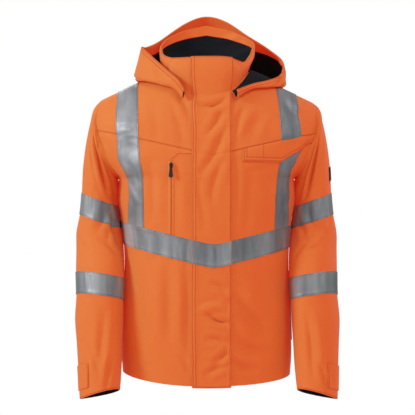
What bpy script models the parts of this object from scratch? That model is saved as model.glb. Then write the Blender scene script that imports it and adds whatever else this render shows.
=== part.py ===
"""A hooded hi-vis work jacket as it is worn: each cut piece is a cloth wall with its own object.

Metres, +Z up. The front faces -Y, and the wearer's right is at -X. The origin is at the base of the
neck, in the middle. Every wall is lofted from sections that follow from the sizes below.
"""

import math

import bmesh
import bpy
import numpy as np

# --- sizes of the cloth -----------------------------------------------------------------------
CLOTH = 0.0020  # shell fabric with its lining
TAPE = 0.0010  # reflective tape
FLAP = 0.0030  # the storm flap and pocket flap are doubled
FLEECE = 0.0016
GAP = 0.0003  # between neighbouring pieces
LINING_GAP, LINING_SEAM, LINING_START = 0.0005, 0.0008, 0.0035  # linings end short of their seams
TAPE_WIDTH = 0.050
FLAP_DROP = 0.003  # the storm flap hangs below the hem by this

# --- the torso --------------------------------------------------------------------------------
MID_Y = 0.005  # side seams and shoulder seams lie in this plane
ARMPIT_Z = -0.205
RIDGE_TOP, RIDGE_SLOPE, RIDGE_ROUND = 0.0994, 0.475, 0.06  # the shoulder line
LEFT_DROP, DROP_FROM_X, DROP_OVER = 0.005, 0.110, 0.075  # the left shoulder hangs lower towards its end
FRONT_SHOULDER_POWER, BACK_SHOULDER_POWER = 2.2, 2.6  # how square the profile over the shoulder is
NECK_HALF, NECK_FRONT_Z, NECK_BACK_Z = 0.095, -0.022, 0.055

# Level sections; above the armpit they run on as if through the sleeve head.
SECTION_COLUMNS = ("height", "half_width", "front_depth", "back_depth", "squareness")
SECTIONS = (
    (-0.690, 0.191, 0.126, 0.120, 2.45),
    (-0.600, 0.197, 0.133, 0.124, 2.40),
    (-0.500, 0.194, 0.139, 0.126, 2.35),
    (-0.400, 0.190, 0.143, 0.128, 2.30),
    (-0.300, 0.1975, 0.146, 0.134, 2.30),
    (-0.250, 0.2052, 0.145, 0.136, 2.36),
    (-0.205, 0.203, 0.144, 0.138, 2.45),
    (-0.190, 0.2155, 0.144, 0.138, 2.50),
    (-0.170, 0.231, 0.143, 0.138, 2.55),
    (-0.150, 0.2425, 0.143, 0.138, 2.60),
    (-0.130, 0.252, 0.142, 0.138, 2.60),
    (-0.100, 0.262, 0.142, 0.138, 2.60),
    (-0.070, 0.268, 0.142, 0.138, 2.60),
    (-0.045, 0.270, 0.142, 0.138, 2.60),
    (0.070, 0.272, 0.142, 0.138, 2.60),
)

# Height of each seam or tape edge in the middle, and how much it rises by the side seam.
HEM_Z, HEM_RISE, HEM_RISE_LEFT, SIDE_REACH = -0.668, 0.016, 0.009, 0.19
BAND_TOP_Z, BAND_SLOPE, BAND_LOW_X = -0.352, 0.245, 0.016  # the body band dips to a soft V in front
BAND_SOFT = 0.012
YOKE_Z, YOKE_SLOPE, YOKE_SOFT = -0.156, 0.235, 0.012
BACK_YOKE_Z = -0.120
FLAP_LOW_Z, FLAP_TURN_X, FLAP_TURN_SLOPE = -0.169, 0.165, 0.64  # lower edge of the chest pocket's flap
BACK_FLAP_LOW_Z = -0.162  # the same row of the loft, behind

# Named lines that run up the front: x at heights, low to high.
FRONT_LINES = {
    "brace_out_right": ((-0.667, -0.175), (-0.300, -0.176), (-0.240, -0.173), (-0.193, -0.180),
                        (-0.160, -0.197), (0.0, -0.206)),
    "brace_in_right": ((-0.667, -0.138), (-0.300, -0.139), (-0.200, -0.141), (-0.160, -0.148),
                       (0.02, -0.157)),
    "chest_zip": ((-0.667, -0.077), (-0.165, -0.077), (-0.10, -0.084), (0.0, -0.095),
                  (0.05, -0.095)),
    "flap_free": ((-0.667, -0.031), (0.07, -0.031)),
    "zip_right": ((-0.667, 0.004), (0.07, 0.004)),
    "zip_left": ((-0.667, 0.018), (0.07, 0.018)),
    "flap_sewn": ((-0.667, 0.054), (0.07, 0.054)),
    "pocket": ((-0.667, 0.080), (-0.140, 0.080), (-0.08, 0.086), (0.0, 0.095), (0.05, 0.095)),
    "brace_in_left": ((-0.667, 0.148), (-0.300, 0.152), (-0.200, 0.158), (-0.170, 0.163),
                      (-0.118, 0.166), (0.02, 0.158)),
    "brace_out_left": ((-0.667, 0.184), (-0.300, 0.185), (-0.230, 0.186), (-0.191, 0.188),
                       (-0.167, 0.203), (-0.135, 0.216), (-0.110, 0.212), (0.0, 0.206)),
}
BACK_LINES = {
    "brace_out": ((-0.667, 0.166), (-0.300, 0.166), (-0.200, 0.172), (0.0, 0.206)),
    "brace_in": ((-0.667, 0.120), (-0.300, 0.120), (-0.160, 0.126), (0.02, 0.158)),
    "neck_side": ((-0.667, 0.062), (-0.200, 0.066), (0.0, 0.095), (0.05, 0.095)),
}
# The armhole's edge: x at heights.
ARMHOLE = ((-0.205, 0.203), (-0.190, 0.2085), (-0.170, 0.219), (-0.150, 0.2275), (-0.130, 0.235),
           (-0.100, 0.247), (-0.070, 0.2525), (-0.045, 0.250), (-0.015, 0.243), (0.05, 0.240))

# Cells of the loft between each named line and the next, and each named row and the next.
FRONT_COLUMNS = (("side_right", 3), ("brace_out_right", 2), ("brace_in_right", 2), ("chest_zip", 3),
                 ("flap_free", 1), ("zip_right", 1), ("zip_left", 1), ("flap_sewn", 3),
                 ("pocket", 2), ("brace_in_left", 2), ("brace_out_left", 3), ("side_left", 0))
BACK_COLUMNS = (("side_right", 3), ("brace_out_right", 2), ("brace_in_right", 2), ("neck_side_right", 4),
                ("middle", 4), ("neck_side_left", 2), ("brace_in_left", 2), ("brace_out_left", 3),
                ("side_left", 0))
ROWS = (("hem", 2), ("pocket_low", 3), ("pocket_high", 1), ("band_low", 1), ("band_top", 3),
        ("armpit", 2), ("flap_low", 2), ("yoke", 5), ("top", 0))
SIDE_POCKET_LOW_Z, SIDE_POCKET_HIGH_Z = -0.580, -0.420

# Long soft folds in the torso: both ends (x, z), depth (minus is a trough), half width.
FOLD_COLUMNS = ("x0", "z0", "x1", "z1", "depth", "spread")
FRONT_FOLDS = (
    (-0.200, -0.185, -0.164, -0.330, -0.0060, 0.013),
    (-0.150, -0.160, -0.150, -0.290, 0.0030, 0.012),
    (0.199, -0.180, 0.188, -0.320, -0.0060, 0.013),
    (0.165, -0.175, 0.172, -0.300, 0.0030, 0.012),
    (0.150, -0.420, 0.090, -0.620, -0.0035, 0.022),
    (-0.160, -0.440, -0.120, -0.640, -0.0030, 0.022),
)
BACK_FOLDS = (
    (-0.185, -0.190, -0.120, -0.330, -0.0060, 0.018),
    (0.185, -0.190, 0.120, -0.330, -0.0060, 0.018),
    (-0.060, -0.430, -0.075, -0.640, -0.0040, 0.022),
    (0.075, -0.420, 0.055, -0.640, -0.0040, 0.022),
)

# --- the sleeves ------------------------------------------------------------------------------
# Each ring: its outer and inner points (x, z), middle y, half depth, how far its front is tipped up
# and how far its front is turned to the body, in degrees.
RING_COLUMNS = ("outer_x", "outer_z", "inner_x", "inner_z", "middle_y", "half_depth", "tip", "turn")
SLEEVE_RINGS = (
    (0.2600, -0.0410, 0.2085, -0.1985, 0.006, 0.0700, 0, 0),
    (0.2720, -0.0750, 0.2078, -0.2055, 0.008, 0.0750, 0, 0),
    (0.2800, -0.1150, 0.2080, -0.2150, 0.009, 0.0790, 0, 0),
    (0.2873, -0.1740, 0.2090, -0.2380, 0.010, 0.0810, 0, 0),
    (0.2913, -0.2370, 0.2088, -0.2690, 0.012, 0.0800, 0, 1),  # upper band, top edge
    (0.2964, -0.2870, 0.2022, -0.3210, 0.012, 0.0780, 1, 2),  # upper band, lower edge
    (0.3040, -0.3300, 0.1978, -0.3550, 0.004, 0.0750, 3, 5),
    (0.3040, -0.3750, 0.1947, -0.3960, -0.014, 0.0730, 5, 10),
    (0.3002, -0.4200, 0.1936, -0.4380, -0.032, 0.0700, 7, 13),  # lower band, top edge
    (0.2970, -0.4700, 0.1942, -0.4860, -0.044, 0.0670, 9, 13),  # lower band, lower edge
    (0.2990, -0.5250, 0.1935, -0.5310, -0.055, 0.0635, 11, 11),
    (0.2940, -0.5790, 0.1940, -0.5790, -0.066, 0.0605, 12, 9),
    (0.2895, -0.6310, 0.1940, -0.6220, -0.076, 0.0570, 14, 8),  # cuff tab, top edge
    (0.2855, -0.6825, 0.1960, -0.6680, -0.085, 0.0550, 16, 7),  # cuff tab, lower edge
    (0.2840, -0.6990, 0.1970, -0.6820, -0.088, 0.0545, 17, 7),
)
UPPER_BAND_ROW, LOWER_BAND_ROW, TAB_ROW, CUFF_LINING_ROW = 5, 9, 13, 12
SLEEVE_SQUARENESS = 2.15
LEFT_SLEEVE_SWING, SWING_FROM_Z = 0.036, -0.42  # metres outwards for each metre down, from the forearm on
SLEEVE_SEAM = 0.0005
ARMPIT_STEP = (1.8, 2.2)  # such gaps outwards and upwards between the sleeve and the top of the side seam
EVEN_FROM = 4.0  # from this ring on, the points round it are evenly spread
HEAD_BLEND = (0.35, 0.70, 0.90)  # how far the first rings have left the armhole's shape
# Sleeve folds: ring position, angle round from the outside to the front, depth, half widths.
SLEEVE_FOLD_COLUMNS = ("ring", "angle", "depth", "ring_spread", "angle_spread")
SLEEVE_FOLDS = (
    (3.2, 100, -0.0050, 1.4, 22),
    (7.5, 130, 0.0040, 0.8, 30),
    (8.2, 20, -0.0035, 0.7, 40),
    (11.5, 80, -0.0030, 1.2, 25),
    (12.5, -100, -0.0040, 1.4, 30),
    (4.5, -100, -0.0050, 1.5, 25),
)

# --- the collar -------------------------------------------------------------------------------
# Top edge by the angle round the neck, 0 in front and plus to the wearer's left.
COLLAR_COLUMNS = ("angle", "x", "y", "z")
COLLAR_TOP = (
    (-180, 0.000, 0.089, 0.172), (-155, -0.050, 0.083, 0.160), (-128, -0.091, 0.056, 0.137),
    (-104, -0.106, 0.018, 0.113), (-82, -0.107, -0.020, 0.093), (-62, -0.097, -0.052, 0.078),
    (-45, -0.081, -0.076, 0.068), (-22, -0.040, -0.094, 0.066), (0, 0.000, -0.098, 0.066),
    (22, 0.040, -0.094, 0.066), (40, 0.066, -0.082, 0.063), (56, 0.083, -0.066, 0.058),
    (75, 0.105, -0.034, 0.088), (95, 0.113, 0.008, 0.110), (125, 0.096, 0.054, 0.136),
    (155, 0.050, 0.083, 0.160), (180, 0.000, 0.089, 0.172),
)
COLLAR_ROWS, FACING_ROWS = 5, 1
COLLAR_BULGE = 0.006
# Its seam stands proud at the shoulders, from this far out and over this width.
COLLAR_RAISE, COLLAR_RAISE_X, COLLAR_RAISE_OVER = 0.0022, 0.055, 0.012
COLLAR_MIDDLE_Y = -0.012  # the angles turn about this

# --- the hood ---------------------------------------------------------------------------------
# Stations round the neck: angle there, the fold where the hood rests on the torso (its x, and how far
# over the shoulder it lies: 0 on the shoulder line, minus in front, 90 at the armpit's level), the
# free rim, and how far the wall stands out between them.
HOOD_COLUMNS = ("angle", "fold_x", "fold_over", "rim_x", "rim_y", "rim_z", "bulge")
HOOD = (
    (-30, -0.052, -52, -0.050, -0.121, -0.008, 0.004),
    (-40, -0.070, -44, -0.064, -0.114, 0.014, 0.006),
    (-56, -0.101, -36, -0.092, -0.083, 0.042, 0.010),
    (-73, -0.134, -25, -0.122, -0.047, 0.073, 0.010),
    (-90, -0.160, -9, -0.150, -0.010, 0.103, 0.008),
    (-108, -0.153, 26, -0.141, 0.030, 0.110, 0.019),
    (-128, -0.136, 52, -0.108, 0.068, 0.134, 0.050),
    (-153, -0.076, 68, -0.050, 0.100, 0.180, 0.075),
    (-180, 0.000, 74, -0.002, 0.113, 0.199, 0.086),
    (-207, 0.076, 68, 0.046, 0.106, 0.186, 0.075),
    (-232, 0.138, 52, 0.098, 0.092, 0.149, 0.050),
    (-252, 0.168, 26, 0.146, 0.060, 0.112, 0.022),
    (-270, 0.180, -8, 0.178, 0.002, 0.072, 0.006),
    (-285, 0.164, -21, 0.172, -0.036, 0.036, 0.006),
    (-302, 0.136, -32, 0.141, -0.066, 0.018, 0.006),
    (-317, 0.098, -41, 0.104, -0.094, 0.006, 0.005),
    (-325, 0.066, -51, 0.068, -0.121, -0.010, 0.004),
)
HOOD_STEPS = 2  # cells between stations
HOOD_MIDDLE_Y, HOOD_SAG = -0.02, 0.2  # its wall leans away from here, and sags by this share of its bulge
HOOD_FLOOR_CELLS, HOOD_WALL_CELLS, HOOD_FACING_CELLS = 2, 7, 1
HOOD_SEAM_LIFT = 0.0056  # its seam beside the collar lies closest to the torso
HOOD_START, HOOD_LIFT, HOOD_FOLD_LIFT, HOOD_BACK_LIFT = 0.008, 0.0078, 0.0085, 0.0050

# --- hard pieces ------------------------------------------------------------------------------
CHEST_ZIP_X, CHEST_ZIP_WIDTH = -0.077, 0.006
POCKET_FLAP_SHORT = 0.004  # the flap ends this far from the armhole
PULL_PIVOT_Z = -0.1795
SLIDER_WIDE, SLIDER_HIGH, SLIDER_THICK, SLIDER_LIFT = 0.0085, 0.0120, 0.0026, 0.0008
PIVOT_STAND = 0.0014  # the hinge's axis above the slider's plate
BRIDGE_HALF, BRIDGE_WIDE, BRIDGE_THICK, BRIDGE_CLEAR = 0.0030, 0.0024, 0.0009, 0.0012
PULL_LENGTH, PULL_WIDE, PULL_NARROW, PULL_THICK = 0.0260, 0.0095, 0.0052, 0.0016
PULL_BAR, PULL_WIDEST = 0.0013, 0.0035  # its top bar, and where it is widest above its end
WINDOW_HALF, WINDOW_LOW = 0.0016, 0.0044
LABEL_ROW, LABEL_COLUMN, LABEL_SPAN = 4, 1, (0.02, 0.52)
LABEL_LIFT, LABEL_THICK = 0.0008, 0.0010

COLOURS = {
    "orange": (0.86, 0.145, 0.022, 0.80, 0.0),
    "tape": (0.34, 0.36, 0.38, 0.42, 0.0),
    "black_fleece": (0.010, 0.012, 0.016, 0.95, 0.0),
    "black_zip": (0.015, 0.015, 0.017, 0.55, 0.0),
    "dark_metal": (0.060, 0.060, 0.065, 0.35, 0.9),
}


# --- mathematics ------------------------------------------------------------------------------
def smooth_curve(stations, values, at):
    """Cubic Hermite curve through the values, with no overshoot between stations."""
    stations, values = np.asarray(stations, float), np.asarray(values, float)
    at = np.clip(at, stations[0], stations[-1])
    step = np.diff(stations)
    rise = np.diff(values) / step
    inner = np.where(rise[1:] * rise[:-1] > 0, 2 * rise[1:] * rise[:-1] / (rise[1:] + rise[:-1] + 1e-12), 0)
    slopes = np.concatenate([rise[:1], inner, rise[-1:]])
    cell = np.clip(np.searchsorted(stations, at, side="right") - 1, 0, len(step) - 1)
    t = (at - stations[cell]) / step[cell]
    start, end = values[cell], values[cell + 1]
    lean_in, lean_out = slopes[cell] * step[cell], slopes[cell + 1] * step[cell]
    return (start * (1 + 2 * t) * (1 - t) ** 2 + lean_in * t * (1 - t) ** 2
            + end * t * t * (3 - 2 * t) + lean_out * t * t * (t - 1))


def loop_curve(stations, values, at):
    """Catmull-Rom curve through the values, which may overshoot a little and is softer."""
    stations, values = np.asarray(stations, float), np.asarray(values, float)
    at = np.clip(at, stations[0], stations[-1])
    slopes = np.gradient(values, stations)
    step = np.diff(stations)
    cell = np.clip(np.searchsorted(stations, at, side="right") - 1, 0, len(step) - 1)
    t = (at - stations[cell]) / step[cell]
    return (values[cell] * (1 + 2 * t) * (1 - t) ** 2 + slopes[cell] * step[cell] * t * (1 - t) ** 2
            + values[cell + 1] * t * t * (3 - 2 * t) + slopes[cell + 1] * step[cell] * t * t * (t - 1))


def column(table, names, name):
    return np.array([row[names.index(name)] for row in table], float)


def unit(vectors):
    return vectors / np.maximum(np.linalg.norm(vectors, axis=-1, keepdims=True), 1e-12)


def softened(x, radius):
    """The size of x with its corner at 0 rounded off."""
    return np.sqrt(x * x + radius * radius) - radius


def grid_normals(points, closed=False):
    """Unit normals of a grid of points, from the steps along its rows and columns."""
    if closed:
        wide = np.concatenate([points[:, -1:], points, points[:, :1]], axis=1)
        across = (wide[:, 2:] - wide[:, :-2]) / 2
    else:
        across = np.gradient(points, axis=1)
    return unit(np.cross(across, np.gradient(points, axis=0)))


# --- the torso surface ------------------------------------------------------------------------
def section(z, name):
    heights = column(SECTIONS, SECTION_COLUMNS, "height")
    return smooth_curve(heights, column(SECTIONS, SECTION_COLUMNS, name), z)


def ridge_height(x):
    share = np.clip((x - DROP_FROM_X) / DROP_OVER, 0, 1)
    return RIDGE_TOP - RIDGE_SLOPE * np.hypot(x, RIDGE_ROUND) - LEFT_DROP * share * share * (3 - 2 * share)


def fold_relief(x, z, folds):
    """How far the folds move the cloth out at (x, z)."""
    total = np.zeros_like(x)
    for x0, z0, x1, z1, depth, spread in folds:
        along_x, along_z = x1 - x0, z1 - z0
        t = np.clip(((x - x0) * along_x + (z - z0) * along_z) / (along_x**2 + along_z**2), 0, 1)
        off = np.hypot(x - x0 - t * along_x, z - z0 - t * along_z)
        total += depth * np.exp(-((off / spread) ** 2)) * np.sin(math.pi * (0.12 + 0.76 * t))
    return total


def torso_y(x, z, in_front):
    """y of the torso's inner face: level sections, drawn in towards the shoulder line."""
    half, power = section(z, "half_width"), section(z, "squareness")
    across = np.maximum(1 - np.clip(np.abs(x) / half, 0, 1) ** power, 0) ** (1 / power)
    climb = np.clip((z - ARMPIT_Z) / (ridge_height(x) - ARMPIT_Z), 0, 1)
    bend = FRONT_SHOULDER_POWER if in_front else BACK_SHOULDER_POWER
    over = (1 - climb**bend) ** (1 / bend)
    relief = fold_relief(x, z, FRONT_FOLDS if in_front else BACK_FOLDS)
    if in_front:
        return MID_Y - (section(z, "front_depth") + relief) * across * over
    return MID_Y + (section(z, "back_depth") + relief) * across * over


def neck_height(x, in_front):
    rise = np.clip(np.abs(x) / NECK_HALF, 0, 1) ** 3
    low = NECK_FRONT_Z if in_front else NECK_BACK_Z
    return low + (ridge_height(NECK_HALF) - low) * rise


def top_height(x, in_front):
    return np.where(np.abs(x) < NECK_HALF, neck_height(x, in_front), ridge_height(x))


def row_height(name, x, in_front):
    """Height of a named seam or tape edge at x."""
    side = (np.abs(x) / SIDE_REACH) ** 2
    vee = BAND_TOP_Z + BAND_SLOPE * softened(x - BAND_LOW_X, BAND_SOFT)
    level = BAND_TOP_Z + BAND_SLOPE * SIDE_REACH
    band_top = vee if in_front else level - 0.012 * (1 - np.clip(side, 0, 1))
    if name == "hem":
        return HEM_Z + np.where(x > 0, HEM_RISE_LEFT, HEM_RISE) * side
    if name == "pocket_low":
        return SIDE_POCKET_LOW_Z + 0 * x
    if name == "pocket_high":
        return SIDE_POCKET_HIGH_Z - 0.030 * (1 - np.clip(side, 0, 1))
    if name == "band_low":
        return band_top - TAPE_WIDTH * math.hypot(1, BAND_SLOPE / 1.3)
    if name == "band_top":
        return band_top
    if name == "armpit":
        return ARMPIT_Z + 0 * x
    if name == "flap_low":
        if in_front:
            return FLAP_LOW_Z + FLAP_TURN_SLOPE * np.maximum(x - FLAP_TURN_X, 0)
        return BACK_FLAP_LOW_Z + 0 * x
    if name == "yoke":
        if in_front:
            return YOKE_Z + YOKE_SLOPE * softened(x - BAND_LOW_X, YOKE_SOFT)
        return BACK_YOKE_Z + 0 * x
    return top_height(x, in_front)


def line_x(name, z, in_front):
    """x of a named line that runs up the torso at height z."""
    sign = -1 if name.endswith("right") else 1
    if name.startswith("side"):
        heights, edges = zip(*ARMHOLE)
        edge = smooth_curve(heights, edges, z)
        return sign * np.where(z > ARMPIT_Z, edge, section(z, "half_width"))
    if name == "middle":
        return 0 * z
    if in_front:
        return smooth_curve(*zip(*FRONT_LINES[name]), z)
    base = name.rsplit("_", 1)[0]
    return sign * smooth_curve(*zip(*BACK_LINES[base]), z)


def swing_of(x, z):
    """The angle round a level section at x, as a share of a right angle."""
    half, power = section(z, "half_width"), section(z, "squareness")
    share = np.clip(np.abs(x) / half, 0, 1)
    return np.sign(x) * np.arcsin(np.clip(share ** (power / 2), 0, 1))


def x_at_swing(swing, z):
    half, power = section(z, "half_width"), section(z, "squareness")
    return half * np.sign(swing) * np.abs(np.sin(swing)) ** (2 / power)


def stations_of(named_cells):
    """Each step of a named list as (name, next name, share of the way)."""
    steps = []
    for (name, cells), (after, _) in zip(named_cells, named_cells[1:]):
        steps += [(name, after, k / cells) for k in range(cells)]
    steps.append((named_cells[-1][0], named_cells[-1][0], 0.0))
    return steps


def index_of(named_cells, name):
    """Index of a named line among the grid's steps."""
    count = 0
    for known, cells in named_cells:
        if known == name:
            return count
        count += cells
    raise KeyError(name)


def torso_grid(columns, in_front):
    """Grid of inner-face points: rows from the hem up, columns from the wearer's right to left."""
    rows, lines = stations_of(ROWS), stations_of(columns)
    grid = np.zeros((len(rows), len(lines), 3))
    for i, (low, high, up) in enumerate(rows):
        for j, (here, there, along) in enumerate(lines):
            x = np.array(0.0)
            for _ in range(30):
                z = (1 - up) * row_height(low, x, in_front) + up * row_height(high, x, in_front)
                swing = ((1 - along) * swing_of(line_x(here, z, in_front), z)
                         + along * swing_of(line_x(there, z, in_front), z))
                x = 0.5 * x + 0.5 * x_at_swing(swing, z)
            grid[i, j] = x, torso_y(x, z, in_front), z
    return grid


# --- building walls ---------------------------------------------------------------------------
def new_object(name, mesh, slot, where):
    mesh.materials.append(bpy.data.materials[slot])
    piece = bpy.data.objects.new(name, mesh)
    where.objects.link(piece)
    return piece


def inset(points, sides, amount):
    """Draws the named sides of a grid of points in along the surface, for the seam's gap."""
    moved = points.copy()
    if "low" in sides:
        moved[0] += unit(points[1] - points[0]) * amount
    if "high" in sides:
        moved[-1] += unit(points[-2] - points[-1]) * amount
    if "first" in sides:
        moved[:, 0] += unit(points[:, 1] - points[:, 0]) * amount
    if "last" in sides:
        moved[:, -1] += unit(points[:, -2] - points[:, -1]) * amount
    return moved


def wall(name, points, normals, start, thickness, slot, where, closed=False, seams="", seam=GAP / 2):
    """A cloth wall: a grid of points moved out along its normals by start and by its thickness more."""
    points = inset(points, seams.split(), seam)
    rows, lines = points.shape[:2]
    inner = points + normals * start
    outer = inner + normals * thickness
    mesh = bmesh.new()
    faces_in = [[mesh.verts.new(p) for p in row] for row in inner]
    faces_out = [[mesh.verts.new(p) for p in row] for row in outer]
    last = lines if closed else lines - 1
    for i in range(rows - 1):
        for j in range(last):
            k = (j + 1) % lines
            # The same diagonal splits both faces, so that stacked walls stay parallel.
            for grid, order in ((faces_out, 1), (faces_in, -1)):
                a, b, c, d = grid[i][j], grid[i][k], grid[i + 1][k], grid[i + 1][j]
                mesh.faces.new((a, b, c)[::order])
                mesh.faces.new((a, c, d)[::order])
    for j in range(last):
        k = (j + 1) % lines
        mesh.faces.new((faces_in[0][j], faces_in[0][k], faces_out[0][k], faces_out[0][j]))
        mesh.faces.new((faces_out[-1][j], faces_out[-1][k], faces_in[-1][k], faces_in[-1][j]))
    if not closed:
        for i in range(rows - 1):
            mesh.faces.new((faces_in[i + 1][0], faces_in[i][0], faces_out[i][0], faces_out[i + 1][0]))
            mesh.faces.new((faces_in[i][-1], faces_in[i + 1][-1], faces_out[i + 1][-1], faces_out[i][-1]))
    bmesh.ops.recalc_face_normals(mesh, faces=mesh.faces)
    data = bpy.data.meshes.new(name)
    mesh.to_mesh(data)
    mesh.free()
    data.shade_smooth()
    data.set_sharp_from_angle(angle=math.radians(50))
    return new_object(name, data, slot, where)


class Panel:
    """A grid with its normals, from which pieces are cut by row and column."""

    def __init__(self, points, normals, rows=None, columns=None):
        self.points, self.normals = points, normals
        self.rows, self.columns = rows, columns

    def cut(self, low, high, first, last):
        """Rows low to high and columns first to last, each a name or an index."""
        i0, i1 = (index_of(self.rows, n) if isinstance(n, str) else n for n in (low, high))
        j0, j1 = (index_of(self.columns, n) if isinstance(n, str) else n for n in (first, last))
        return self.points[i0 : i1 + 1, j0 : j1 + 1], self.normals[i0 : i1 + 1, j0 : j1 + 1]


def torso_panels():
    """Front and back grids, with one shared normal along the side and shoulder seams."""
    front, back = torso_grid(FRONT_COLUMNS, True), torso_grid(BACK_COLUMNS, False)
    front_normals, back_normals = grid_normals(front), -grid_normals(back)
    armpit = index_of(ROWS, "armpit")
    for end, sign in ((0, -1), (-1, 1)):
        outwards = np.array((sign, 0.0, 0.0))
        front_normals[: armpit + 1, end] = outwards
        back_normals[: armpit + 1, end] = outwards
    for normals, grid in ((front_normals, front), (back_normals, back)):
        on_ridge = np.abs(grid[-1, :, 0]) > NECK_HALF - 0.002
        top_x = grid[-1, :, 0]
        slope = np.stack([np.sign(top_x) * RIDGE_SLOPE, 0 * top_x, 1 + 0 * top_x], -1)
        normals[-1, on_ridge] = unit(slope[on_ridge])
    return (Panel(front, front_normals, ROWS, FRONT_COLUMNS), Panel(back, back_normals, ROWS, BACK_COLUMNS))


# --- the sleeves ------------------------------------------------------------------------------
def armhole_loop(front, back, side):
    """The armhole's edge points and normals: from the shoulder down the front, up the back."""
    end, near = (0, 1) if side < 0 else (-1, -2)
    armpit = index_of(ROWS, "armpit")
    loops = []
    for panel in (front, back):
        edge = panel.points[armpit:, end]
        away = unit(edge - panel.points[armpit:, near])
        loops.append((edge[::-1], panel.normals[armpit:, end][::-1], away[::-1]))
    (front_edge, front_normals, front_away), (back_edge, back_normals, back_away) = loops
    points = np.concatenate([front_edge, back_edge[::-1][1:-1]])
    normals = np.concatenate([front_normals, back_normals[::-1][1:-1]])
    away = np.concatenate([front_away, back_away[::-1][1:-1]])
    turn = np.array((float(side), 0.0, 0.0))
    away[0] = unit(turn * 1.0 + np.array((0.0, 0.0, -0.45)))
    away[len(front_edge) - 1] = (side * ARMPIT_STEP[0], 0.0, ARMPIT_STEP[1])
    return points, normals, away


def sleeve_angles(loop, half_count):
    """Angles round the rings that follow the armhole points' spacing: 0 outside, 90 degrees in front."""
    steps = np.linalg.norm(np.roll(loop, -1, axis=0) - loop, axis=1)
    travelled = np.concatenate([[0], np.cumsum(steps)])
    down, whole = travelled[half_count], travelled[-1]
    shares = travelled[:-1]
    return np.where(shares <= down, math.pi * shares / down, math.pi * (1 + (shares - down) / (whole - down)))


def sleeve_relief(ring, angles):
    total = np.zeros_like(angles)
    for at, angle, depth, ring_spread, angle_spread in SLEEVE_FOLDS:
        off = (np.degrees(angles) - angle + 180) % 360 - 180
        total += depth * np.exp(-(((ring - at) / ring_spread) ** 2) - (off / angle_spread) ** 2)
    return total


def sleeve_ring(at, angles, side):
    """The ring at a position along the sleeve, 0 being the first row of the ring table."""
    stations = np.arange(len(SLEEVE_RINGS))
    read = {name: smooth_curve(stations, column(SLEEVE_RINGS, RING_COLUMNS, name), at)
            for name in RING_COLUMNS}
    outer = np.array((read["outer_x"], read["middle_y"], read["outer_z"]))
    inner = np.array((read["inner_x"], read["middle_y"], read["inner_z"]))
    middle, across = (outer + inner) / 2, (outer - inner) / 2
    tip, turn = math.radians(read["tip"]), math.radians(read["turn"])
    depth = read["half_depth"] * np.array((-math.sin(turn), -math.cos(turn) * math.cos(tip), math.sin(tip)))
    power = 2 / SLEEVE_SQUARENESS
    out = np.sign(np.cos(angles)) * np.abs(np.cos(angles)) ** power
    ahead = np.sign(np.sin(angles)) * np.abs(np.sin(angles)) ** power
    swell = 1 + sleeve_relief(at + 1, angles) / np.linalg.norm(across)
    ring = middle + np.outer(out * swell, across) + np.outer(ahead * swell, depth)
    if side > 0:
        ring[:, 0] += LEFT_SLEEVE_SWING * np.maximum(SWING_FROM_Z - ring[:, 2], 0)
    ring[:, 0] *= side
    return ring


def sleeve_panel(front, back, side):
    loop, loop_normals, away = armhole_loop(front, back, side)
    half_count = index_of(ROWS, "top") - index_of(ROWS, "armpit")
    angles = sleeve_angles(loop, half_count)
    even = math.pi * np.arange(len(loop)) / half_count
    rings = [loop + away * SLEEVE_SEAM]
    loop_middle = (loop[0] + loop[half_count]) / 2
    for at in range(len(SLEEVE_RINGS)):
        spread = min(at / EVEN_FROM, 1.0)
        ring = sleeve_ring(float(at), (1 - spread) * angles + spread * even, side)
        left = HEAD_BLEND[at] if at < len(HEAD_BLEND) else 1.0
        ring_middle = (ring[0] + ring[half_count]) / 2
        rings.append(left * ring + (1 - left) * (loop + ring_middle - loop_middle))
    points = np.array(rings)
    normals = grid_normals(points, closed=True) * (1 if side > 0 else -1)
    normals[0] = loop_normals
    return Panel(points, normals)


# --- the neck: collar and hood ----------------------------------------------------------------
def neck_point(angle):
    """The neckline at an angle round the neck, 0 in front and plus to the wearer's left."""
    turn = math.radians(angle)
    x = NECK_HALF * math.sin(turn)
    in_front = math.cos(turn) > 0
    height = float(neck_height(np.array(x), in_front))
    return np.array((x, float(torso_y(np.array(x), np.array(height), in_front)), height)), in_front


def neckline(front, back):
    """Points, normals and ways out of the torso along the neckline, from the zip round by the left."""
    first, last = (index_of(FRONT_COLUMNS, name) for name in ("chest_zip", "pocket"))
    back_first, back_last = (index_of(BACK_COLUMNS, name) for name in ("neck_side_right", "neck_side_left"))
    ring = []
    for panel, columns in ((front, range(first, last + 1)), (back, range(back_last - 1, back_first, -1))):
        for j in columns:
            edge = panel.points[-1, j]
            ring.append((edge, panel.normals[-1, j], unit(edge - panel.points[-2, j])))
    start = index_of(FRONT_COLUMNS, "zip_left") - first
    ring = ring[start:] + ring[:start]
    return (np.array(parts) for parts in zip(*ring))


def collar_panel(front, back):
    """Collar grid: rows up from the neckline, columns from the zip's left edge round the back."""
    bases, base_normals, away = neckline(front, back)
    angles = np.degrees(np.arctan2(bases[:, 0], -(bases[:, 1] - COLLAR_MIDDLE_Y)))
    top = {name: column(COLLAR_TOP, COLLAR_COLUMNS, name) for name in COLLAR_COLUMNS}
    tops = np.stack([loop_curve(top["angle"], top[name], angles) for name in "xyz"], -1)
    outwards = unit(tops * np.array((1, 1, 0)))
    to_side = np.clip((np.abs(bases[:, :1]) - COLLAR_RAISE_X) / COLLAR_RAISE_OVER, 0, 1)
    rows = [bases + away * GAP + base_normals * COLLAR_RAISE * to_side]
    for k in range(1, COLLAR_ROWS + 1):
        up = k / COLLAR_ROWS
        swell = COLLAR_BULGE * math.sin(math.pi * up**1.5)
        rows.append(bases * (1 - up) + tops * up + outwards * swell)
    points = np.array(rows)
    normals = grid_normals(points, closed=True)
    normals[0] = base_normals
    return Panel(points, normals)


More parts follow.
